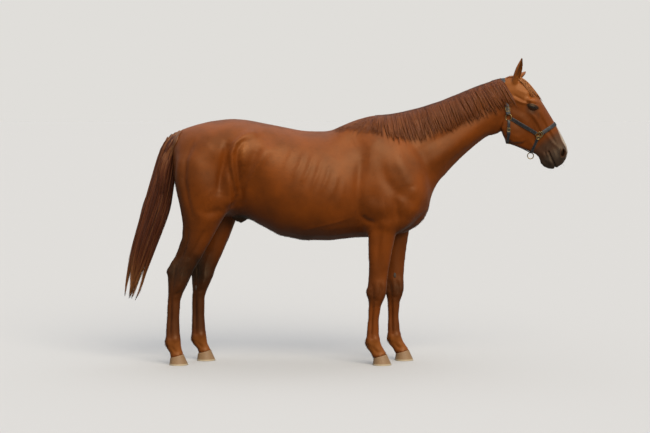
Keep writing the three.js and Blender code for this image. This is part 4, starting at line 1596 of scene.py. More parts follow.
    def guard(self, skin: Piece, thinner: bpy.types.Modifier) -> None:
        """Sets how far the skin is thinned, and keeps eyes, nostrils and ears out of it."""
        points = points_of(skin)
        gap = np.full(len(points), 1e3)
        for place, reach in ((self.eye, 56.0), (self.nostril, 36.0)):
            gap = np.minimum(gap, np.linalg.norm(folded(points) - place, axis=1) - reach)
        gap[belongs(Plan.owners(points), EAR_RIGHT, EAR_LEFT)] = -1.0
        group = skin.vertex_groups.new(name="thinned")
        group.add(np.flatnonzero(gap > 0).tolist(), 1.0, "ADD")
        thinner.vertex_group = group.name
        thinner.ratio = min(1.0, self.most_triangles / len(skin.data.polygons))

    def mark(self, skin: Piece) -> None:
        """Gives the skin its markings with painted shade and highlights, its lie and its unwrap."""
        points, normals = points_of(skin), normals_of(skin)
        set_attribute(skin, "tone", "FLOAT_COLOR", MarkingsAndPaintedLight.tones(points, normals))
        set_attribute(skin, "lie", "FLOAT_VECTOR", Plan.lie(points, Plan.owners(points)))
        corners = corners_of(skin)
        centres = points[corners].mean(1)
        owners = np.repeat(Plan.owners(centres), 3)
        set_uv(skin, "OFBake", Plan.unwrap(points[corners.ravel()], owners, np.repeat(centres, 3, axis=0)))

    def side_surface(self, x: float, z: float, side: Side) -> tuple[float, Vector] | None:
        """Finds the skin at a place in the side view.

        Args:
            x: Place along the horse.
            z: Height.
            side: The side to look from.

        Returns:
            The skin's Y and normal there, or None past its outline.
        """
        hit, normal, _, _ = self.tree.ray_cast(
            Vector((x, side.value * self.beside, z)), Vector((0, -side.value, 0))
        )
        return None if hit is None else (hit.y, normal)

    def top(self, x: float, y: float) -> float:
        """Returns the height of the skin at a place seen from above."""
        return self.tree.ray_cast(Vector((x, y, self.above)), Vector((0, 0, -1)))[0].z


# ---- hair
def lock_mesh(
    name: str, paths: Array, widths: Array, depths: Array, outward: Array, shades: Array, roots: Array,
    sides: int = 4
) -> Piece:
    """Makes tapered locks, each a closed solid with a point at its tip.

    Args:
        name: The piece's name.
        paths: (L, S, 3) points down each lock's middle.
        widths: (L, S) breadths.
        depths: (L, S) thicknesses.
        outward: (L, S, 3) directions away from the skin.
        shades: (L,) or (L, S) each lock's own shade from 0 to 1.
        roots: (L, 2) each root's place on the skin's unwrap.
        sides: Sides of a lock's section.

    Returns:
        The new object, with the attributes `lock` and `lie` and the UV map OFBake.
    """
    count, steps, _ = paths.shape
    tangents = unit(np.gradient(paths, axis=1))
    across = unit(np.cross(tangents, outward))
    out = unit(np.cross(across, tangents))
    angles = 2 * math.pi * np.arange(sides) / sides
    rings = paths[:, :-1, None, :] + (
        across[:, :-1, None, :] * (np.cos(angles)[None, None, :, None] * widths[:, :-1, None, None] / 2)
        + out[:, :-1, None, :] * (np.sin(angles)[None, None, :, None] * depths[:, :-1, None, None] / 2)
    )
    levels = steps - 1
    size = levels * sides + 2
    points = np.empty((count, size, 3))
    points[:, : levels * sides] = rings.reshape(count, -1, 3)
    points[:, -2] = paths[:, 0] - tangents[:, 0] * widths[:, :1] * 0.3
    points[:, -1] = paths[:, -1]
    pattern = tube_faces(levels, sides)[:, ::-1]
    every = (pattern[None] + (np.arange(count) * size)[:, None, None]).reshape(-1, 3)
    piece = mesh_piece(name, points.reshape(-1, 3), every)
    share = np.concatenate([np.repeat(np.linspace(0.08, 0.92, levels), sides), [0.0, 1.0]])
    turn = np.concatenate([np.tile(0.5 + 0.5 * np.cos(angles + 0.3), levels), [0.5, 0.5]])
    along = np.tile(share, (count, 1))
    if shades.ndim == 1:
        shades = np.repeat(shades[:, None], steps, axis=1)
    shade = np.concatenate(
        [np.repeat(shades[:, :-1], sides, axis=1), shades[:, :1], shades[:, -1:]], axis=1
    )
    colours = np.stack([shade, along, np.zeros_like(along), np.ones_like(along)], axis=2)
    set_attribute(piece, "lock", "FLOAT_COLOR", colours.reshape(-1, 4))
    length = np.linalg.norm(np.diff(paths, axis=1), axis=2).sum(1)
    offset = np.arange(count)[:, None] * 37.0
    breadth = widths[:, :1] * np.tile(turn, (count, 1))
    lie = np.stack([breadth + offset, along * 0 + offset, along * length[:, None] / STRETCH], axis=2)
    set_attribute(piece, "lie", "FLOAT_VECTOR", lie.reshape(-1, 3) * MM)
    places = roots[:, None, :] + PATCH * np.stack([np.tile(turn, (count, 1)), along], axis=2)
    set_uv(piece, "OFBake", places.reshape(-1, 2)[every.ravel()])
    return piece


def root_places(points: Array) -> Array:
    """Returns the places of hair roots on the skin's unwrap."""
    return Plan.unwrap(points, Plan.owners(points))


@dataclass
class Bunch:
    """Locks of hair gathered for one piece."""

    rows: list[tuple[Array, ...]] = field(default_factory=list)

    def keep(self, laid: tuple[Array, Array], widths: Array, depths: Array, shades: Array | float) -> None:
        """Adds a lock: its path and outward directions, its breadths, thicknesses and shades."""
        self.rows.append((*laid, widths, depths, shades))

    def mesh(self, name: str, part: slice = slice(None)) -> Piece:
        """Makes a part of the bunch."""
        paths, outward, widths, depths, shades = (np.array(column) for column in zip(*self.rows[part]))
        return lock_mesh(
            name, paths, widths, depths, outward, np.clip(shades, 0, 1), root_places(paths[:, 0])
        )


@dataclass
class Mane:
    """A pulled mane in pointed locks on the right side of the neck, over wisps at the withers."""

    skin: Skin
    seed: int = 11
    steps: int = 13
    clumps: int = 170
    wisps: int = 420
    # where the hair grows, along the crest
    rear: float = 196.0
    front: float = 1004.0
    # the lower edge of the hair, from the withers to the headcollar
    hem: tuple[Point2, ...] = (
        (150, 1500), (207, 1478), (252, 1456), (346, 1428), (409, 1424), (498, 1440), (561, 1460),
        (675, 1492), (751, 1528), (840, 1560), (928, 1594), (1000, 1626), (1040, 1662)
    )

    def drape(self, spots: Array, start_y: float, stand: float, wave: Array) -> tuple[Array, Array]:
        """Lays a path given in the side view on the right side of the neck.

        Args:
            spots: (S, 2) places in the side view, the first on the crest.
            start_y: The root's Y.
            stand: How far the hair stands off the skin.
            wave: (S,) small offsets outward.

        Returns:
            The path and its outward directions.
        """
        steps = len(spots)
        path, outward = np.zeros((steps, 3)), np.zeros((steps, 3))
        last = start_y
        for i, (x, z) in enumerate(spots):
            found = self.skin.side_surface(x, z, Side.RIGHT) if i else None
            if found:
                last, facing = found[0], unit(np.array(found[1]) + [0, -0.25, 0])
            else:
                facing = unit(np.array([0.0, -0.35, 1.0]))
            rise = stand * (0.4 + 0.6 * min(1.0, i / 3))
            path[i] = np.array([x, last, z]) + facing * (rise + wave[i])
            outward[i] = facing
        path[:, 1] = np.minimum.accumulate(path[:, 1])
        even(path, 2)
        even(outward, 2)
        return path, unit(outward)

    def strand(self, rng: np.random.Generator, x: float, clump: tuple, stand: float) -> tuple[Array, Array]:
        """Lays one strand that gathers into its clump's point.

        Args:
            rng: Seeded randomness.
            x: The root's place along the crest.
            clump: The clump's middle, lean, length and curl.
            stand: How far it stands off the skin.
        """
        middle, lean, size, curl = clump
        y = rng.uniform(-12, 8)
        root = np.array([x, self.skin.top(x, y) - 1.0])
        down = np.array([math.sin(lean), -math.cos(lean)])
        hem = np.array(self.hem)
        reach = 24.0
        while reach < 320.0:
            spot = root + down * reach
            if spot[1] < np.interp(spot[0], hem[:, 0], hem[:, 1]):
                break
            reach += 5.0
        length = reach * size * rng.uniform(0.86, 1.05) * (0.86 if stand < 7 else 1.0)
        gone = np.linspace(0, 1, self.steps)
        gather = (middle - x) * 0.3 * smooth(gone, 0.2, 0.9)
        sway = curl * np.sin(gone * 4.2) * gone + rng.normal(0, 1.6) * np.sin(gone * rng.uniform(3, 6))
        spots = root + np.outer(gone * length, down)
        spots[:, 0] += gather + sway
        wave = 1.2 * np.sin(gone * rng.uniform(4, 9) + rng.uniform(0, 6)) * gone
        return self.drape(spots, y, stand, wave)

    def wisp(self, rng: np.random.Generator) -> tuple[Array, Array]:
        """Lays one of the fine hairs that trail back over the withers."""
        x = rng.uniform(70, 268)
        y = rng.uniform(-16, 6)
        root = np.array([x, self.skin.top(x, y) - 1.0])
        back = float(smooth(np.array(x + rng.normal(0, 24)), 250, 130))
        lean = math.radians(-24 - 46 * back + rng.normal(0, 5))
        length = rng.uniform(85, 125) + 45 * back
        gone = np.linspace(0, 1, self.steps)
        spots = root + np.outer(gone * length, [math.sin(lean), -math.cos(lean)])
        spots[:, 1] -= 22 * gone**2
        spots[:, 0] -= rng.normal(0, 5) * np.sin(gone * 3)
        tops = np.array([self.skin.top(float(spot[0]), -8.0) for spot in spots])
        spots[:, 1] = np.minimum(spots[:, 1], tops - 3)
        return self.drape(spots, y, rng.uniform(1.0, 4.0), np.zeros(self.steps))

    def build(self) -> None:
        """Makes the locks: a dark bed and a middle layer, painted darker than the fine strands on top as
        shade beneath them, and the wisps.
        """
        rng = np.random.default_rng(self.seed)
        centres = np.linspace(self.rear, self.front, self.clumps) + rng.normal(0, 3.5, self.clumps)
        share = (centres - self.rear) / (self.front - self.rear)
        leans = 0.1 + 0.44 * share**0.8 + rng.normal(0, 0.035, self.clumps)
        leans += 0.05 * np.sin(share * 31)
        leans -= 0.5 * smooth(centres, 262, 196)
        clumps = np.stack(
            [centres, leans, rng.uniform(0.9, 1.07, self.clumps), rng.normal(0, 3.0, self.clumps)], axis=1
        )
        # count, stand-off, breadth, thickness and shade of each layer; the deeper layers are painted darker,
        # as shade
        layers = [(360, 3.0, 10.0, 3.0, 0.2), (900, 5.5, 4.0, 2.2, 0.4), (1640, 8.5, 2.0, 1.5, 0.62)]
        bunch = Bunch()
        fade = np.linspace(0, 1, self.steps)

        def keep(laid: tuple[Array, Array], width: float, depth: float, shade: float, fine: float) -> None:
            """Adds one strand."""
            taper = 1 - fine * fade**2.4
            shades = shade + 0.16 * smooth(fade, 0.1, 0.6) - 0.16 * smooth(fade, 0.12, 0.0)
            bunch.keep(laid, width * taper * (0.7 + 0.3 * smooth(fade, 0.0, 0.2)), depth * taper, shades)

        for count, stand, width, depth, shade in layers:
            spots = (self.front - self.rear) * (np.arange(count) + rng.uniform(0, 1, count)) / count
            for x in self.rear + spots:
                clump = clumps[np.argmin(np.abs(clumps[:, 0] - x))]
                laid = self.strand(rng, float(x), tuple(clump), stand * rng.uniform(0.75, 1.25))
                keep(laid, width * rng.uniform(0.7, 1.35), depth, shade + rng.normal(0, 0.14), 0.82)
        for _ in range(self.wisps):
            keep(self.wisp(rng), rng.uniform(1.4, 3.2), 1.2, rng.uniform(0.25, 0.8), 0.9)
        under = layers[0][0] + layers[1][0]
        for name, part in (("mane_bed", slice(0, under)), ("mane_locks", slice(under, None))):
            piece = bunch.mesh(name, part)
            finish_piece(piece, MANE_HAIR, "mane", *(("mane",) if name == "mane_locks" else ()))


@dataclass
class Forelock:
    """The lock that falls forward from the poll and fans out over the right of the brow."""

    skin: Skin
    seed: int = 12
    steps: int = 16
    bristles: int = 56

    def strand(self, rng: np.random.Generator, fan: float, stand: float) -> tuple[Array, Array]:
        """Lays one strand; `fan` runs from 0 at the right edge to 1 over the middle of the brow."""
        root = np.array([1064 + rng.uniform(-22, 22), -6 + 16 * (fan - 0.4) + rng.normal(0, 5), 1862.0])
        knee = np.array([1112 + 26 * fan, -40 + 48 * fan, 1846.0])
        brow = np.array([1164 + 52 * fan, -56 + 62 * fan, 1752 + 14 * fan])
        tip = np.array([1194 + 60 * fan, -62 + 66 * fan, 1712 - 10 * fan])
        tip += (tip - brow) * rng.uniform(-0.8, 0.35) + rng.normal(0, 9, 3)
        points = []
        for t in np.linspace(0, 1, self.steps):
            rest = 1 - t
            spot = rest**3 * root + 3 * rest**2 * t * knee + 3 * rest * t**2 * brow + t**3 * tip
            points.append(spot)
        path, outward = np.zeros((self.steps, 3)), np.zeros((self.steps, 3))
        phase = rng.uniform(0, 6)
        for i, spot in enumerate(points):
            hit, normal, _, _ = self.skin.tree.find_nearest(Vector(spot))
            t = i / (self.steps - 1)
            lift = 1.0 + stand * math.sin(min(1.0, t * 2.2) * math.pi / 2) * (1 - 0.45 * t)
            path[i] = np.array(hit) + np.array(normal) * lift
            path[i, 1] += 2.0 * math.sin(t * 5 + phase) * t
            outward[i] = normal
        even(path, 3)
        even(outward, 3, 1.0)
        return path, unit(outward)

    def bristle(self, rng: np.random.Generator) -> tuple[Array, Array]:
        """Lays one of the short hairs that stand on the poll behind the headcollar's crown."""
        x, y = rng.uniform(1034, 1078), rng.uniform(-20, 20)
        root = np.array([x, y, self.skin.top(x, y)])
        aim = unit(np.array([rng.uniform(0.2, 1.0), 0.02 * y + rng.normal(0, 0.15), 0.5]))
        gone = np.linspace(0, 1, self.steps)
        length = rng.uniform(9, 22)
        path = root + np.outer(gone * length, aim) - np.outer(gone**2 * length * 0.2, UP)
        return path, np.tile(UP, (self.steps, 1))

    def build(self) -> None:
        """Makes a bed of broad locks, painted darker as shade, under fine bright ones."""
        rng = np.random.default_rng(self.seed)
        bunch = Bunch()
        fade = np.linspace(0, 1, self.steps) ** 2
        # count, stand-off, breadth and shade of each layer; the lower layers are painted darker, as shade
        layers = ((110, 3.5, 9.0, 0.3), (210, 7.0, 4.2, 0.55), (230, 10.0, 2.3, 0.85))
        for count, stand, width, shade in layers:
            for _ in range(count):
                laid = self.strand(rng, rng.uniform(0, 1) ** 0.9, stand * rng.uniform(0.6, 1.2))
                widths = width * rng.uniform(0.7, 1.3) * (1 - 0.85 * fade)
                bunch.keep(laid, widths, np.maximum(widths * 0.4, 0.6), shade + rng.normal(0, 0.13))
        for _ in range(self.bristles):
            laid = self.bristle(rng)
            widths = rng.uniform(1.8, 3.6) * (1 - 0.8 * fade)
            bunch.keep(laid, widths, np.maximum(widths * 0.4, 0.6), rng.uniform(0.6, 0.95))
        piece = bunch.mesh("forelock_locks")
        finish_piece(piece, FORELOCK_HAIR, "mane", "forelock")


@dataclass
class Tail:
    """A full tail that hangs clear of the quarters and parts into four wisps."""

    skin: Skin
    seed: int = 13
    steps: int = 20
    locks: int = 1080
    clumps: int = 46
    fringes: int = 220
    # how far out the short hair beside the dock may lie
    spread: float = 108.0
    # middle in the side view, half depth in the side view, half width
    stations: tuple[tuple[float, ...], ...] = (
        (-1008, 1470, 24, 36), (-1056, 1472, 47, 52), (-1099, 1450, 62, 58), (-1126, 1394, 66, 59),
        (-1147, 1300, 66, 56), (-1178, 1165, 78, 58), (-1206, 1034, 90, 59), (-1264, 861, 82, 55),
        (-1321, 690, 73, 49), (-1357, 550, 66, 39), (-1374, 455, 60, 28), (-1391, 414, 46, 16)
    )

    def section(self, share: Array) -> tuple[Array, Array, Array]:
        """Returns the middle, the half depth and the half width at shares of the tail's length."""
        table = np.array(self.stations)
        gone = np.concatenate([[0], np.cumsum(np.linalg.norm(np.diff(table[:, :2], axis=0), axis=1))])
        at = np.clip(share, 0, 1) * gone[-1]
        x, z, deep, half = (np.interp(at, gone, table[:, i]) for i in range(4))
        return np.stack([x, np.zeros_like(x), z], axis=-1), deep, half

    def clear(self, path: Array, stand: float) -> None:
        """Lifts a lock's path out of the quarters, so that it lies over them."""
        for i in range(1, len(path)):
            if path[i, 0] < -1150:
                return
            hit, normal, _, _ = self.skin.tree.find_nearest(Vector(path[i]))
            sunk = stand - float((path[i] - np.array(hit)) @ np.array(normal))
            if sunk > 0:
                path[i] += np.array(normal) * sunk

    def fringe(self, rng: np.random.Generator, side: Side) -> tuple[Array, Array]:
        """Lays one of the locks that fall from the top of the dock over the side of the quarter."""
        low = float(rng.uniform(1090, 1360))
        back = float(rng.uniform(-0.1, 1.0)) * 74
        z = 1474 - (1474 - low) * np.linspace(0, 1, self.steps) ** 0.85
        edge = np.interp(
            z, (1080, 1131, 1260, 1344, 1430, 1473), (-1106, -1101, -1084, -1054, -1014, -1004)
        )
        x = edge - back * smooth(z, 1500, 1330) - float(rng.uniform(0, 34))
        y = np.interp(z, (1080, 1300, 1430, 1474), (58, 62, 40, 8 + float(rng.uniform(0, 18)))) * side.value
        stand = float(rng.uniform(2.0, 7.0))
        for i in range(2, self.steps):
            found = self.skin.side_surface(float(x[i]), float(z[i]), side)
            while found is not None and abs(found[0]) > self.spread:
                x[i:] -= 6.0
                found = self.skin.side_surface(float(x[i]), float(z[i]), side)
            if found is not None:
                y[i] = side.value * max(abs(y[i]), abs(found[0]) + stand)
        path = np.stack([x, y, z], axis=1)
        even(path, 5)
        outward = unit(
            np.stack([x * 0 - 0.25, y * 0 + side.value, np.linspace(0.8, 0.1, self.steps)], axis=1)
        )
        return path, outward

    def core(self) -> Piece:
        """Makes the dock and the dense hair at the tail's heart, painted darkest as the shade deep in the
        tail, so that nothing shows through.
        """
        shares = np.linspace(0, 0.86, 60)
        middle, deep, half = self.section(shares)
        even(middle, 12, 0.0)
        tangent = unit(np.gradient(middle, axis=0))
        front = np.cross(ACROSS, tangent)
        shrink = 0.8 * smooth(shares, 0.98, 0.5)
        angles = np.linspace(0, 2 * math.pi, 40, endpoint=False)
        flute = 1 + 0.05 * np.sin(angles * 9)[None, :] * smooth(shares, 0.1, 0.4)[:, None]
        rings = middle[:, None, :] + (
            front[:, None, :] * (np.cos(angles)[None, :] * (deep * shrink)[:, None] * flute)[:, :, None]
            + ACROSS * (np.sin(angles)[None, :] * (half * shrink)[:, None] * flute)[:, :, None]
        )
        points = np.concatenate([rings.reshape(-1, 3), middle[:1], middle[-1:]])
        piece = mesh_piece("tail_dock", points, tube_faces(len(shares), len(angles)))
        face_out(piece)
        # painted shade: the heart of the tail is darker than any lock
        shade = np.full(len(points), 0.12)
        set_attribute(
            piece, "lock", "FLOAT_COLOR", np.stack([shade, shade, shade * 0, shade * 0 + 1], axis=1)
        )
        set_attribute(piece, "lie", "FLOAT_VECTOR", points * [1, 1, 0.05] * MM)
        return piece

    def build(self) -> None:
        """Makes the locks round the core, gathered in clumps that part near the ends."""
        rng = np.random.default_rng(self.seed)
        wisps = ((0.8, 0.1), (0.1, -0.6), (-0.75, 0.15), (-0.2, 0.7))
        clump_turn = rng.uniform(0, 2 * math.pi, self.clumps)
        clump_ring = np.sqrt(rng.uniform(0.5, 1.0, self.clumps))
        bunch = Bunch()
        fade = np.linspace(0, 1, self.steps) ** 2.5
        for number in range(self.locks):
            clump = int(rng.integers(self.clumps))
            turn = rng.uniform(0, 2 * math.pi)
            ring = math.sqrt(rng.uniform(0.5, 1.0))
            begin = float(rng.uniform(0, 1) ** 1.4 * 0.42)
            end = float(rng.uniform(0.8, 1.03)) if number % 4 else float(rng.uniform(0.55, 0.85))
            shares = np.linspace(begin, end, self.steps)
            middle, deep, half = self.section(shares)
            tangent = unit(np.gradient(middle, axis=0))
            front = np.cross(ACROSS, tangent)
            u, v = ring * math.cos(turn), ring * math.sin(turn)
            target = (
                clump_ring[clump] * math.cos(clump_turn[clump]),
                clump_ring[clump] * math.sin(clump_turn[clump])
            )
            close = math.hypot(target[0] - u, target[1] - v) < 0.9
            pull = (0.55 if close else 0.0) * smooth(shares, begin, begin + 0.45)
            us, vs = u + (target[0] - u) * pull, v + (target[1] - v) * pull
            gather = 0.86 * smooth(shares, 0.74, 1.0)
            goal = min(wisps, key=lambda w: (w[0] - us[-1]) ** 2 + (w[1] - vs[-1]) ** 2)
            us, vs = us + (goal[0] - us) * gather, vs + (goal[1] - vs) * gather
            sway = rng.normal(0, 0.035) * np.sin(shares * rng.uniform(5, 12) + rng.uniform(0, 6))
            grown = 0.72 + 0.28 * smooth(shares, begin, begin + 0.12)
            path = middle + front * ((us * grown + sway) * deep)[:, None]
            path += ACROSS * ((vs * grown + sway) * half)[:, None]
            even(path, 3)
            self.clear(path, rng.uniform(1.5, 6.0))
            away = unit(front * us[:, None] + ACROSS * vs[:, None] + 1e-3)
            widths = rng.uniform(3.0, 8.5) * (1 - 0.85 * fade)
            shades = rng.normal(0.34, 0.17) + 0.26 * smooth(shares, 0.22, 0.04)
            shades += 0.5 * smooth(shares, 0.66, 1.0)
            bunch.keep((path, away), widths, np.maximum(widths * 0.5, 1.0), shades)
        for number in range(self.fringes):
            path, away = self.fringe(rng, Side.RIGHT if number % 2 else Side.LEFT)
            self.clear(path, rng.uniform(2.0, 6.0))
            widths = rng.uniform(2.6, 6.5) * (1 - 0.85 * fade)
            shades = rng.normal(0.64, 0.1) - 0.3 * smooth(path[:, 2], 1400, 1180)
            bunch.keep((path, away), widths, np.maximum(widths * 0.5, 1.0), shades)
        locks = bunch.mesh("tail_locks")
        finish_piece(self.core(), TAIL_HAIR, "tail")
        finish_piece(locks, TAIL_HAIR, "tail", "tail")


# ---- coat
@dataclass(frozen=True)
class Growth:
    """How the coat grows on one stretch of skin: hairs to a square centimetre, length, breadth and lift."""

    density: float
    length: float
    breadth: float
    lift: float = 12.0


@dataclass
class Coat:
    """Tufts of the short coat, laid along the lie of the hair, with longer fringes in places."""

    skin: Skin
    seed: int = 17
    most: int = 15_800
    # the growth on each of PARTS, by the first word of its name
    growths: dict[str, Growth] = field(
        default_factory=lambda: {
            "head": Growth(2.4, 6.0, 0.8, 4), "neck": Growth(0.75, 13.0, 1.5, 6),
            "trunk": Growth(0.5, 15.0, 1.6, 5), "foreleg": Growth(1.25, 9.0, 1.1, 10),
            "hindleg": Growth(1.25, 9.5, 1.1, 10), "ear": Growth(8.0, 5.0, 0.7, 8)
        }
    )

    def fringe(self, points: Array, normals: Array, owners: Array) -> tuple[Array, Array, Array]:
        """Finds where the coat is fuller than elsewhere.

        Args:
            points: (N, 3) places on the skin.
            normals: The normals there.
            owners: Each place's part.

        Returns:
            How many times denser it is, how many times longer and how many degrees it stands further off.
        """
        x, y, z = points.T
        dense, long, stand = np.ones(len(points)), np.ones(len(points)), np.zeros(len(points))

        def zone(weight: Array, more: float, longer: float, off: float) -> None:
            """Makes the coat fuller by a weight from 0 to 1."""
            nonlocal dense, long, stand
            dense, long, stand = dense + more * weight, long + longer * weight, stand + off * weight

        trunk = belongs(owners, TRUNK)
        head = belongs(owners, HEAD)
        leg = belongs(owners, FORE_RIGHT, FORE_LEFT, HIND_RIGHT, HIND_LEFT)
        hind = leg & (x < -400)
        ahead_by = np.where(y > 0, np.where(hind, lead_at(z, Limb.HIND), lead_at(z, Limb.FORE)), 0)
        place = x - ahead_by
        zone(trunk * smooth(-normals[:, 2], 0.6, 0.9), 1.6, 0.35, 6)
        breast = smooth(x, 430, 520) * smooth(-normals[:, 2] + 0.4 * normals[:, 0], 0.1, 0.6)
        zone(trunk * breast, 2.0, 0.3, 6)
        zone(trunk * smooth(x, -1040, -1085) * smooth(z, 1000, 1100), 2.5, 0.4, 5)
        zone(trunk * bell(x, -668, 26) * smooth(z, 900, 1000) * smooth(z, 1450, 1350), 1.6, 0.2, 8)
        zone(trunk * bell(x, 92, 24) * smooth(z, 1250, 1050), 1.5, 0.3, 8)
        back = smooth(-normals[:, 0], 0.3, 0.8)
        zone(leg * back * smooth(z, 520, 420) * smooth(z, 170, 220), 2.5, 0.6, 12)
        fetlock = leg * back * bell(z, 150, 32)
        zone(fetlock, 9.0, 2.3, 16)
        zone(leg * smooth(z, 92, 66), 6.0, 0.5, 4)
        zone(leg * back * smooth(z, 860, 700) * smooth(z, 560, 640), 1.0, 0.4, 8)
        jaw = head * smooth(-normals[:, 2] - 0.3 * normals[:, 0], 0.35, 0.8) * smooth(x, 1300, 1230)
        zone(jaw, 1.2, 0.25, 3)
        throat = smooth(x, 900, 960) * smooth(x, 1110, 1060) * smooth(z, 1480, 1420)
        zone(throat, 1.2, 0.2, 4)
        zone(head * smooth(place, 1320, 1380), 0.6, -0.35, 0)
        near_eye = np.linalg.norm(folded(points) - self.skin.eye, axis=1)
        zone(smooth(near_eye, 44, 30), -0.8, -0.45, 0)
        return dense, long, stand

    def blocked(self, points: Array) -> Array:
        """Says where no tuft may grow: in the slits of the eyes, in the nostrils and under the soles."""
        slit = np.linalg.norm((folded(points) - [1200, 100, 1655]) * [0.8, 1, 1.4], axis=1) < 29
        nostril = np.linalg.norm((folded(points) - [1402, 54, 1360]) * [1.5, 1, 0.85], axis=1) < 25
        x, _, z = points.T
        lips = (x > 1290) & (x < 1365) & (z < 1375) & (x - 1305 > (1372 - z) * 0.2)
        return slit | nostril | lips | (z < 46)

    def sow(self, rng: np.random.Generator) -> tuple[Array, Array, Array, Array, Array, Array]:
        """Scatters roots over the skin; returns them, normals, parts, lengths, breadths and lifts."""
        points = points_of(self.skin.piece)
        faces = corners_of(self.skin.piece)
        a, b, c = (points[faces[:, i]] for i in range(3))
        cross = np.cross(b - a, c - a)
        area = np.linalg.norm(cross, axis=1) / 2
        centres, normals = (a + b + c) / 3, unit(cross)
        owners = Plan.owners(centres)
        growth = [self.growths[part.name.split("_")[0]] for part in PARTS]
        table = np.array([(g.density, g.length, g.breadth, g.lift) for g in growth])[owners]
        dense, long, stand = self.fringe(centres, normals, owners)
        wanted = area / 100 * table[:, 0] * np.maximum(dense, 0.1) * ~self.blocked(centres)
        counts = rng.poisson(wanted)
        face = np.repeat(np.arange(len(faces)), counts)
        u, v = rng.uniform(0, 1, (2, len(face)))
        flip = u + v > 1
        u[flip], v[flip] = 1 - u[flip], 1 - v[flip]
        roots = a[face] + u[:, None] * (b - a)[face] + v[:, None] * (c - a)[face]
        low = smooth(roots[:, 2], 620, 250)
        length = table[face, 1] * np.maximum(long[face], 0.4) * (1 - 0.3 * low)
        length *= rng.uniform(0.65, 1.3, len(face))
        breadth = table[face, 2] * rng.uniform(0.7, 1.3, len(face))
        lift = table[face, 3] + stand[face] + rng.normal(0, 2.5, len(face))
        return roots, normals[face], owners[face], length, breadth, np.radians(np.clip(lift, 2.5, 50))

    def build(self) -> None:
        """Makes the tufts, in pieces by part of the body."""
        rng = np.random.default_rng(self.seed)
        roots, normals, owners, length, breadth, lift = self.sow(rng)
        flow = Plan.flow(roots, owners)
        flow += rng.normal(0, 0.16, flow.shape)
        flow = unit(flow - normals * (flow * normals).sum(1)[:, None])
        steps = 3
        gone = np.array([0.0, 0.55, 1.0])
        along = np.outer(length, gone)
        off = np.outer(length * np.sin(lift), gone * (1 - 0.45 * gone)) - 0.9 * (gone == 0)
        paths = roots[:, None] + flow[:, None] * along[:, :, None] + normals[:, None] * off[:, :, None]
        paths[:, -1] += np.array([0, 0, -0.12]) * length[:, None]
        paths[:, :, 2] = np.maximum(paths[:, :, 2], 4.0)
        widths = np.outer(breadth, 1 - 0.75 * gone**1.5)
        outward = np.repeat(normals[:, None], steps, axis=1)
        tones = MarkingsAndPaintedLight.tones(roots, normals)
        places = root_places(roots)
        groups = {"head": (0, 7, 8), "neck": (1,), "trunk": (2,), "forelegs": (3, 4), "hindlegs": (5, 6)}
        for name, numbers in groups.items():
            mine = np.flatnonzero(np.isin(owners, numbers))
            for part, start in enumerate(range(0, len(mine), self.most)):
                some = mine[start : start + self.most]
                piece = lock_mesh(
                    f"coat_{name}_{part + 1}", paths[some], widths[some], widths[some] * 0.35,
                    outward[some], np.full(len(some), 0.5), places[some], sides=3
                )
                size = len(piece.data.vertices) // len(some)
                set_attribute(piece, "tone", "FLOAT_COLOR", np.repeat(tones[some], size, axis=0))
                finish_piece(piece, COAT, "coat")
                piece.data.normals_split_custom_set_from_vertices(np.repeat(normals[some], size, axis=0))


@dataclass
class FaceHair:
    """Lashes on the upper lids and the long feelers of muzzle and chin."""

    skin: Skin
    seed: int = 19
    lashes: int = 34
    feelers: int = 46

    def build(self) -> None:
        """Makes both sides' hairs in one piece."""
        rng = np.random.default_rng(self.seed)
        eyes = Eyes()
        roots, aims, lengths = [], [], []
        for side, centre in zip(Side, Eyes.centres()):
            along, up, out = eyes.axes(side)
            for s in np.linspace(-19, 22, self.lashes):
                top, _ = eyes.margins(np.array(s))
                depth = math.sqrt((eyes.radius + eyes.lid) ** 2 - (0.7 * s) ** 2) + 0.2
                roots.append(centre + along * s + up * (float(top) + 0.7) + out * depth)
                aims.append(out * 0.8 - up * 0.55 + along * 0.018 * s + rng.normal(0, 0.05, 3))
                lengths.append(rng.uniform(7, 12))
            for _ in range(self.feelers):
                x, z = rng.uniform(1290, 1400), rng.uniform(1270, 1440)
                found = self.skin.side_surface(x, z, side)
                if not found or (x - 1290) < (1290 - z):
                    continue
                normal = np.array(found[1])
                roots.append(np.array([x, found[0], z]))
                aims.append(normal + [0.35, 0, -0.3] + rng.normal(0, 0.15, 3))
                lengths.append(rng.uniform(14, 34))
        roots, aims, lengths = np.array(roots), unit(np.array(aims)), np.array(lengths)
        steps = 7
        gone = np.linspace(0, 1, steps)
        paths = roots[:, None] + aims[:, None] * (np.outer(lengths, gone))[:, :, None]
        paths[:, :, 2] -= np.outer(lengths, gone**2) * 0.25
        widths = np.tile(0.8 * (1 - 0.7 * gone), (len(roots), 1))
        side = unit(np.cross(aims, UP))
        piece = lock_mesh(
            "feelers", paths, widths, widths, np.repeat(side[:, None], steps, axis=1),
            np.full(len(roots), 0.3), root_places(roots), sides=3
        )
        finish_piece(piece, WHISKER_HAIR, "coat")


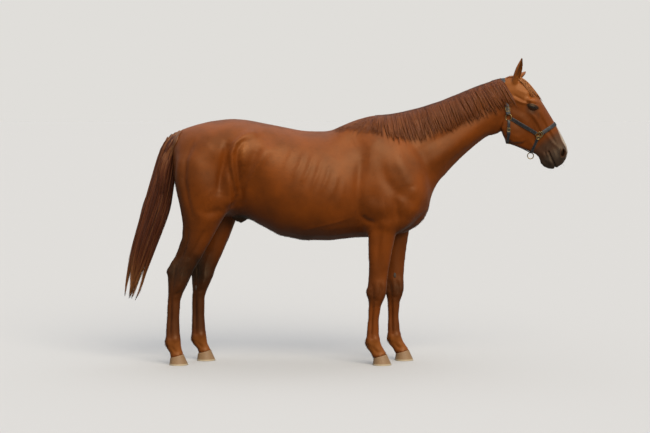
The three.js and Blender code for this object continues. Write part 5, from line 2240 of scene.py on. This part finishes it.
# ---- hooves
@dataclass
class Hooves:
    """Four unshod hooves, each a ringed wall on a flat sole."""

    segments: int = 56
    rings: int = 16

    def wall(self, node: str) -> Piece:
        """Shapes one hoof inside its CAD box.

        Args:
            node: The CAD hoof.

        Returns:
            The hoof as a closed mesh.
        """
        low, high = (np.array(corner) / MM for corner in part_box(node))
        toe, heel = high[0], low[0]
        half = (high[1] - low[1]) / 2
        middle = (high[1] + low[1]) / 2
        deselect()
        bpy.ops.mesh.primitive_cylinder_add(
            vertices=self.segments, radius=1.0, depth=1.0, end_fill_type="TRIFAN", location=(0, 0, 0)
        )
        hoof = bpy.context.object
        hoof.name = node.replace("hoof", "horn")
        with editing(hoof, "EDGE"):
            bpy.ops.mesh.select_all(action="DESELECT")
        for edge in hoof.data.edges:
            a, b = (hoof.data.vertices[i].co for i in edge.vertices)
            edge.select = abs(a.z - b.z) > 0.5
        with editing(hoof, "EDGE"):
            bpy.ops.mesh.subdivide(number_cuts=self.rings)
        points = points_of(hoof) * MM
        rise = points[:, 2] + 0.5
        turn = np.arctan2(points[:, 1], points[:, 0])
        radius = np.hypot(points[:, 0], points[:, 1])
        face = np.cos(turn)
        square = np.where(face < 0, 0.82, 1.0)
        u = np.sign(face) * np.abs(face) ** square
        v = np.sign(np.sin(turn)) * np.abs(np.sin(turn)) ** 0.95
        top_front, top_back = toe - 30.0, heel + 7.0
        front = toe + (top_front - toe) * rise
        back = heel + (top_back - heel) * rise**0.8
        width = half + (43.0 - half) * rise**0.9
        crown = 67.5 + (44.0 - 67.5) * (1 - (u + 1) / 2)
        rings = np.sin(rise * 2 * math.pi * 7 + 0.6 * np.sin(turn * 3))
        growth = 0.5 * rings * smooth(rise, 1.0, 0.9) * smooth(rise, 0.0, 0.06)
        centre = (front + back) / 2
        x = centre + u * radius * ((front - back) / 2 + growth - 0.8)
        y = middle + v * radius * (width + growth - 0.8)
        z = rise * crown
        place_points(hoof, np.stack([x, y, z], axis=1))
        face_out(hoof)
        return hoof

    def build(self) -> None:
        """Makes and dresses all four."""
        for end in ("fore", "hind"):
            for side in Side:
                node = f"hoof_{end}_{side.name.lower()}"
                finish_piece(self.wall(node), HORN, "horn", node)


@dataclass
class LegHorn:
    """The chestnuts on the insides of the legs and the ergots under the fetlocks."""

    skin: Skin
    # place on the right leg in the side view, height and breadth
    fore: tuple[float, ...] = (214.0, 560.0, 34.0, 17.0)
    hind: tuple[float, ...] = (-1108.0, 478.0, 34.0, 15.0)
    fore_ergot: Point2 = (150.0, 132.0)
    hind_ergot: Point2 = (-1142.0, 132.0)

    def button(
        self, name: str, place: Array, normal: Array, tall: float, broad: float, proud: float
    ) -> Piece:
        """Makes one flat, cracked button of horn."""
        deselect()
        bpy.ops.mesh.primitive_ico_sphere_add(subdivisions=4, radius=MM, location=(0, 0, 0))
        piece = bpy.context.object
        piece.name = name
        points = points_of(piece)
        rough = 1 + 0.07 * np.sin(points[:, 2] * 9 + points[:, 0] * 4) + 0.05 * np.sin(points[:, 0] * 17)
        points *= rough[:, None]
        side = unit(np.cross(UP, normal))
        axes = np.stack([side, normal, np.cross(normal, side)])
        place_points(piece, points * [broad / 2, proud, tall / 2] @ axes + place)
        return piece

    def build(self) -> None:
        """Makes all eight in one piece."""
        made = []
        for side in Side:
            for limb, (x, z, tall, broad) in ((Limb.FORE, self.fore), (Limb.HIND, self.hind)):
                start = Vector((x + float(lead_at(z, limb, side)), 0.0, z))
                hit, normal, _, _ = self.skin.tree.ray_cast(start, Vector((0, side.value, 0)))
                if hit:
                    made.append(self.button("horn", np.array(hit), np.array(normal), tall, broad, 4.0))
            for limb, (x, z) in ((Limb.FORE, self.fore_ergot), (Limb.HIND, self.hind_ergot)):
                x += float(lead_at(z, limb, side))
                start = Vector((x - 60, side.value * LEG_OUT[limb], z - 12))
                hit, normal, _, _ = self.skin.tree.ray_cast(start, Vector((1, 0, 0.15)).normalized())
                if hit:
                    made.append(self.button("horn", np.array(hit), np.array(normal), 10.0, 9.0, 5.0))
        finish_piece(join(made, "chestnuts_ergots"), CHESTNUT_HORN, "horn")


# ---- headcollar
@dataclass(frozen=True)
class Strap:
    """One strap of the headcollar: where it runs, how broad it is and the CAD node it stands for."""

    node: str
    breadth: float
    centre: Point3
    towards: Point3
    turn: tuple[float, float]
    thick: float = 4.2


@dataclass
class Headcollar:
    """A leather headcollar in stitched straps, with brass rings, buckles and keepers."""

    skin: Skin
    upper: Point2 = (1050.0, 1588.0)
    nose: Point2 = (1244.0, 1474.0)
    poll: Point2 = (1014.0, 1850.0)
    nose_top: Point2 = (1362.0, 1552.0)
    throat: Point2 = (1046.0, 1400.0)
    chin: Point2 = (1190.0, 1335.0)
    # where lines of sight start outside the head, how often a strap is pulled taut, and the stitches' pitch
    outside: float = 420.0
    rounds: int = 400
    pitch: float = 5.2
    paths: dict[str, tuple[Array, Array, float]] = field(default_factory=dict)

    def hoop(self, strap: Strap, count: int = 90) -> tuple[Array, Array]:
        """Wraps a strap round the head in its plane.

        Args:
            strap: The strap.
            count: Points along it.

        Returns:
            Its path and its outward directions.
        """
        centre, towards = np.array(strap.centre), unit(np.array(strap.towards))
        angles = np.radians(np.linspace(*strap.turn, count))
        aims = np.outer(np.cos(angles), -ACROSS) + np.outer(np.sin(angles), towards)
        reach = np.empty(count)
        for i, aim in enumerate(aims):
            start = centre + aim * self.outside
            hit, _, _, distance = self.skin.tree.ray_cast(Vector(start), Vector(-aim))
            reach[i] = self.outside - distance if hit else np.nan
        good = ~np.isnan(reach)
        reach = np.interp(np.arange(count), np.flatnonzero(good), reach[good])
        path = centre + aims * reach[:, None]
        for _ in range(self.rounds):
            middle = (path[:-2] + path[2:]) / 2
            outer = ((middle - path[1:-1]) * aims[1:-1]).sum(1) > 0
            path[1:-1] = np.where(outer[:, None], middle, path[1:-1])
        even(path, 6)
        tangent = unit(np.gradient(path, axis=0))
        normal = np.cross(tangent, np.cross(towards, -ACROSS))
        normal = unit(normal) * np.sign((normal * aims).sum(1))[:, None]
        return path + normal * (strap.thick / 2 + 1.2), normal

    def side_run(
        self, side: Side, start: Point2, end: Point2, thick: float, count: int = 50
    ) -> tuple[Array, Array]:
        """Lays a strap along the side of the face between two places in the side view."""
        spots = np.linspace(start, end, count)
        path, normals = np.zeros((count, 3)), np.zeros((count, 3))
        for i, (x, z) in enumerate(spots):
            y, normal = self.skin.side_surface(x, z, side)
            path[i] = (x, y, z)
            normals[i] = normal
        even(path, 10)
        even(normals, 10)
        tangent = unit(np.gradient(path, axis=0))
        normals = unit(normals - tangent * (normals * tangent).sum(1)[:, None])
        return path + normals * (thick / 2 + 1.2), normals

    def ribbon(self, name: str, path: Array, normals: Array, breadth: float, thick: float) -> Piece:
        """Makes a strap with rounded edges along a path."""
        tangent = unit(np.gradient(path, axis=0))
        across = unit(np.cross(tangent, normals))
        profile = np.array(
            [
                (-0.5, -0.2), (-0.47, -0.5), (0.47, -0.5), (0.5, -0.2), (0.5, 0.2), (0.46, 0.42),
                (0.36, 0.5), (0.0, 0.54), (-0.36, 0.5), (-0.46, 0.42), (-0.5, 0.2)
            ]
        )
        rings = path[:, None] + across[:, None] * (profile[:, :1] * breadth)
        rings += normals[:, None] * (profile[:, 1:] * thick)
        points = np.concatenate([rings.reshape(-1, 3), path[:1], path[-1:]])
        piece = mesh_piece(name, points, tube_faces(len(path), len(profile)))
        face_out(piece)
        self.paths[name] = (path, normals, breadth)
        return piece

    def beads(self, name: str, centres: Array, axes: Array, sizes: Point3) -> Piece:
        """Makes many small rounded bars, six sides each, in one piece.

        Args:
            name: The piece's name.
            centres: (N, 3) middles.
            axes: (N, 3, 3) each bar's directions.
            sizes: Full sizes along them.

        Returns:
            The piece.
        """
        turns = np.arange(6) * math.pi / 3
        ring = 0.9 * 0.5 * np.stack([np.cos(turns), np.sin(turns)], axis=1)
        corners = np.array(
            [(-0.5, 0, 0), *[(-0.3, *r) for r in ring], *[(0.3, *r) for r in ring], (0.5, 0, 0)]
        )
        faces = []
        for i in range(6):
            j = (i + 1) % 6
            faces += [(0, 1 + j, 1 + i), (1 + i, 1 + j, 7 + j), (1 + i, 7 + j, 7 + i), (13, 7 + i, 7 + j)]
        points = centres[:, None] + np.einsum("ci,nij->ncj", corners * sizes, axes)
        every = np.array(faces)[None] + (np.arange(len(centres)) * len(corners))[:, None, None]
        piece = mesh_piece(name, points.reshape(-1, 3), every.reshape(-1, 3))
        face_out(piece)
        return piece

    def stitches(self) -> None:
        """Sews both edges of every strap."""
        centres, axes = [], []
        for path, normals, breadth in self.paths.values():
            gone = np.concatenate([[0], np.cumsum(np.linalg.norm(np.diff(path, axis=0), axis=1))])
            spots = np.arange(6.0, gone[-1] - 6.0, self.pitch)
            tangent = unit(np.gradient(path, axis=0))
            for edge in (-1, 1):
                across = unit(np.cross(tangent, normals))
                line = path + across * edge * (breadth / 2 - 3.0) + normals * 2.1
                at, way, out = (
                    np.stack([np.interp(spots, gone, rows[:, i]) for i in range(3)], axis=1)
                    for rows in (line, tangent, normals)
                )
                way, out = unit(way), unit(out)
                centres.append(at)
                axes.append(np.stack([way, np.cross(out, way), out], axis=1))
        piece = self.beads(
            "strap_stitching", np.concatenate(centres), np.concatenate(axes), (3.6, 1.1, 1.1)
        )
        finish_piece(piece, THREAD, "leather")

    def link(
        self, name: str, place: Array, normal: Array, up: Array, size: float, wire: float, square: float
    ) -> Piece:
        """Makes a ring, or a rounded square link.

        Args:
            name: The piece's name.
            place: Its middle.
            normal: The direction its opening faces.
            up: A direction in its plane.
            size: Its outer radius less the wire's.
            wire: The wire's radius.
            square: 0 for a circle, up to 1 for a square.

        Returns:
            The piece.
        """
        deselect()
        bpy.ops.mesh.primitive_torus_add(
            major_segments=56, minor_segments=14, major_radius=size * MM, minor_radius=wire * MM,
            location=(0, 0, 0)
        )
        piece = bpy.context.object
        piece.name = name
        points = points_of(piece)
        turn = np.arctan2(points[:, 1], points[:, 0])
        power = 2 + 6 * square
        stretch = (np.abs(np.cos(turn)) ** power + np.abs(np.sin(turn)) ** power) ** (-1 / power)
        radius = np.hypot(points[:, 0], points[:, 1])
        grown = radius - size + size * stretch * (1 - 0.12 * square)
        flat = np.stack([np.cos(turn) * grown, np.sin(turn) * grown, points[:, 2]], axis=1)
        normal = unit(normal)
        up = unit(up - normal * (up @ normal))
        place_points(piece, flat @ np.stack([np.cross(up, normal), up, normal]) + place)
        return piece

    def strap(
        self, name: str, node: str, path: Array, normals: Array, breadth: float, thick: float = 4.2
    ) -> None:
        """Makes a strap and dresses it."""
        finish_piece(self.ribbon(name, path, normals, breadth, thick), LEATHER, "leather", node)

    def ring(self, name: str, node: str, *shape: Array | float) -> None:
        """Makes a ring as `link` does and dresses it."""
        finish_piece(self.link(name, *shape), BRASS, "brass", node)

    def on_side(self, spot: Point2, side: Side, lift: float) -> tuple[Array, Array]:
        """Returns a point above the face's side and the direction outward there."""
        steps = (-12, 0, 12)
        found = [self.skin.side_surface(spot[0] + dx, spot[1] + dz, side) for dx in steps for dz in steps]
        normal = unit(np.mean([np.array(f[1]) for f in found], axis=0))
        y = float(np.mean([f[0] for f in found]))
        return np.array([spot[0], y, spot[1]]) + normal * lift, normal

    def buckle(self, name: str, at: int, strap: tuple[Array, Array, float], breadth: float) -> Piece:
        """Makes a buckle at one point of a strap: its frame, its tongue and its roller."""
        path, normals, _ = strap
        normal, along = normals[at], unit(path[at + 1] - path[at - 1])
        place = path[at] + normal * 3
        frame_link = self.link(name, place, normal, along, breadth * 0.56, 1.7, 0.8)
        side = np.cross(along, normal)
        axes = np.stack([along, side, normal])[None]
        tongue = self.beads(f"{name}_tongue", (place + normal * 1.6)[None], axes, (breadth * 1.1, 3.0, 2.4))
        axes = np.stack([side, along, normal])[None]
        bar = self.beads(
            f"{name}_bar", (place - along * breadth * 0.48)[None], axes, (breadth * 1.1, 3.6, 3.6)
        )
        return join([frame_link, tongue, bar], name)

    def keeper(self, name: str, at: int, strap: tuple[Array, Array, float]) -> Piece:
        """Makes a leather loop round a strap."""
        path, normals, breadth = strap
        part = slice(max(at - 3, 0), at + 3)
        line = path[part] + normals[part] * 1.6
        piece = self.ribbon(name, line, normals[part], breadth + 5, 4.2)
        self.paths.pop(name)
        return piece

    def build(self) -> None:
        """Makes every strap, ring, buckle and keeper."""
        upper, nose = np.array(self.upper), np.array(self.nose)

        def plane(start: Array, end: Point2) -> tuple[Point3, Point3]:
            """Returns the centre and upright direction of a hoop from a ring to the middle line."""
            run = np.array(end) - start
            return (float(start[0]), 0.0, float(start[1])), (float(run[0]), 0.0, float(run[1]))

        straps = [
            Strap("crown_strap", 25, *plane(upper, self.poll), (12, 168)),
            Strap("throat_strap", 18, *plane(upper, self.throat), (14, 166)),
            Strap("noseband", 25, *plane(nose, self.nose_top), (16, 164)),
            Strap("chin_strap", 18, *plane(nose, self.chin), (12, 168))
        ]
        for strap in straps:
            name = strap.node.replace("strap", "leather").replace("noseband", "nose_leather")
            self.strap(name, strap.node, *self.hoop(strap), strap.breadth, strap.thick)
        for side in Side:
            name = side.name.lower()
            run = unit(nose - upper)
            path, normals = self.side_run(side, tuple(upper + run * 18), tuple(nose - run * 18), 4.2)
            self.strap(f"cheek_leather_{name}", f"cheek_strap_{name}", path, normals, 23)
            place, normal = self.on_side(self.upper, side, 5.0)
            self.ring(f"upper_link_{name}", f"upper_ring_{name}", place, normal, UP, 19.0, 2.9, 0.15)
            place, normal = self.on_side(self.nose, side, 5.0)
            tilt = np.array([0.83, 0.0, 0.55])
            ring = self.link(f"nose_link_{name}", place, normal, tilt, 19.0, 2.7, 0.75)
            high, low = place + tilt * 15 + normal, place - np.array([0.36, 0, 0.93]) * 17 + normal
            inner = self.link(f"nose_loop_{name}", high, normal, tilt, 13.0, 2.2, 0.75)
            lower = self.link(f"nose_foot_{name}", low, normal, UP, 11.0, 2.2, 0.75)
            finish_piece(join([ring, inner, lower], ring.name), BRASS, "brass", f"nose_ring_{name}")
        crown, throat, chin = (self.paths[f"{name}_leather"] for name in ("crown", "throat", "chin"))
        hardware = [self.buckle("crown_buckle", 9, crown, 27), self.buckle("throat_buckle", 18, throat, 20)]
        places = (
            ("crown_keeper", 15, crown), ("crown_keeper_low", 4, crown), ("throat_keeper", 24, throat)
        )
        finish_piece(join([self.keeper(*place) for place in places], "keepers"), LEATHER, "leather")
        finish_piece(join(hardware, "buckles"), BRASS, "brass")
        low_throat, low_chin = (path[np.argmin(np.abs(path[:, 1]))] for path, _, _ in (throat, chin))
        eye_place = low_throat + [9, 0, -3]
        start, end = eye_place + [10, 0, -1], low_chin + [2, 0, -4]
        share = np.linspace(0, 1, 30)
        line = start + share[:, None] * (end - start) + np.outer(np.sin(share * math.pi), [1.5, 0, 4.0])
        down = np.tile(unit(np.cross(end - start, -ACROSS)), (30, 1))
        down *= -np.sign(down[:, 2:])
        self.strap("jaw_leather", "jaw_strap", line, down, 18, 5.0)
        self.ring("throat_link", "throat_ring", eye_place, np.array([0.1, 0, 1.0]), ACROSS, 13.5, 2.4, 0.2)
        self.ring("lead_link", "lead_ring", low_chin + [-3, 0, -21.0], ACROSS, UP, 19.5, 3.0, 0.0)
        self.stitches()


# ---- studio
@dataclass
class Studio:
    """A plain pale floor, a white background, soft lamps and the camera."""

    camera_place: Point3 = (-0.1275, -11.662, 1.633)
    pitch: float = 3.361
    lens: float = 100.15
    floor_size: float = 500.0
    floor_colour: str = "d6d8d9"
    floor_shade: str = "48423a"
    wall_colour: str = "e0deda"
    # how much of the pale room a gloss shows, as in a hall with darker corners
    mirrored: float = 0.25

    def seen(self, tree: Nodes) -> bpy.types.Node:
        """Returns how far rays show the background: wholly to the eye or in glass, softly in a gloss."""
        path = add(tree, "LightPath").outputs
        seen = {0: path["Is Glossy Ray"], 1: self.mirrored, 2: path["Is Camera Ray"]}
        plain = add(tree, "Math", seen, operation="MULTIPLY_ADD")
        return add(tree, "Math", {0: plain, 1: path["Is Transmission Ray"]}, operation="MAXIMUM")

    def floor(self) -> None:
        """Makes the floor: pale to the eye, and darker to the light it would throw up at the belly."""
        deselect()
        bpy.ops.mesh.primitive_plane_add(size=self.floor_size, location=(0, 0, 0))
        floor = bpy.context.object
        floor.name = "floor"
        material = bpy.data.materials.new("floor_paint")
        material.use_nodes = True
        tree = material.node_tree
        tree.nodes.clear()
        tones = {FACTOR: self.seen(tree), FIRST: self.floor_shade, SECOND: self.floor_colour}
        matt = add(tree, "BsdfDiffuse", {"Color": add(tree, "Mix", tones, data_type="RGBA")})
        add(tree, "OutputMaterial", {"Surface": matt})
        floor.data.materials.append(material)

    def lamp(self, name: str, towards: Point3, spread: float, power: float, colour: str) -> None:
        """Adds a lamp that lights the whole floor evenly, like a far panel.

        Args:
            name: The lamp's name.
            towards: Direction from the horse to the lamp.
            spread: The panel's breadth as seen from the horse, in degrees.
            power: Its strength.
            colour: Its colour.
        """
        data = bpy.data.lights.new(name, "SUN")
        data.angle = math.radians(spread)
        data.energy = power
        data.color = linear(colour)[:3]
        lamp = bpy.data.objects.new(name, data)
        bpy.context.scene.collection.objects.link(lamp)
        lamp.rotation_euler = Vector(towards).to_track_quat("Z", "Y").to_euler()

    def world(self) -> None:
        """Makes a dome that is brightest overhead and shows as a pale wall behind the horse."""
        world = bpy.data.worlds.new("studio")
        bpy.context.scene.world = world
        world.use_nodes = True
        tree = world.node_tree
        tree.nodes.clear()
        height = add(tree, "SeparateXYZ", {0: add(tree, "TexCoord")}).outputs["Z"]
        dome = {"From Min": 0.05, "From Max": 1.0, "To Min": 0.18, "To Max": 0.92}
        rise = add(tree, "MapRange", {"Value": height, **dome})
        sky = add(tree, "Background", {"Color": "f2f2f4", "Strength": rise})
        wall = add(tree, "Background", {"Color": self.wall_colour, "Strength": 1.0})
        add(tree, "OutputWorld", {"Surface": add(tree, "MixShader", {0: self.seen(tree), 1: sky, 2: wall})})

    def build(self) -> None:
        """Sets up floor, light and camera."""
        self.floor()
        self.world()
        self.lamp("high_panel", (0.36, -0.95, 0.78), 46, 2.05, "fff1dc")
        self.lamp("top_panel", (0.1, 0.25, 1.0), 60, 0.45, "f6f6fa")
        data = bpy.data.cameras.new("camera")
        data.lens = self.lens
        data.sensor_width = 36.0
        camera = bpy.data.objects.new("camera", data)
        bpy.context.scene.collection.objects.link(camera)
        camera.location = self.camera_place
        camera.rotation_euler = (math.radians(90 - self.pitch), 0, 0)
        bpy.context.scene.camera = camera
        bpy.context.scene.view_settings.view_transform = "Standard"


def main() -> None:
    """Builds the horse and its studio, piece by piece."""
    logging.basicConfig(
        level=logging.INFO, format="%(name)s %(relativeCreated)d ms: %(message)s", force=True
    )
    Studio().build()
    skin = Skin()
    skin.build()
    Eyes().build()
    Hooves().build()
    Mane(skin).build()
    Forelock(skin).build()
    Tail(skin).build()
    LegHorn(skin).build()
    Headcollar(skin).build()
    Coat(skin).build()
    FaceHair(skin).build()


if __name__ == "__main__":
    main()
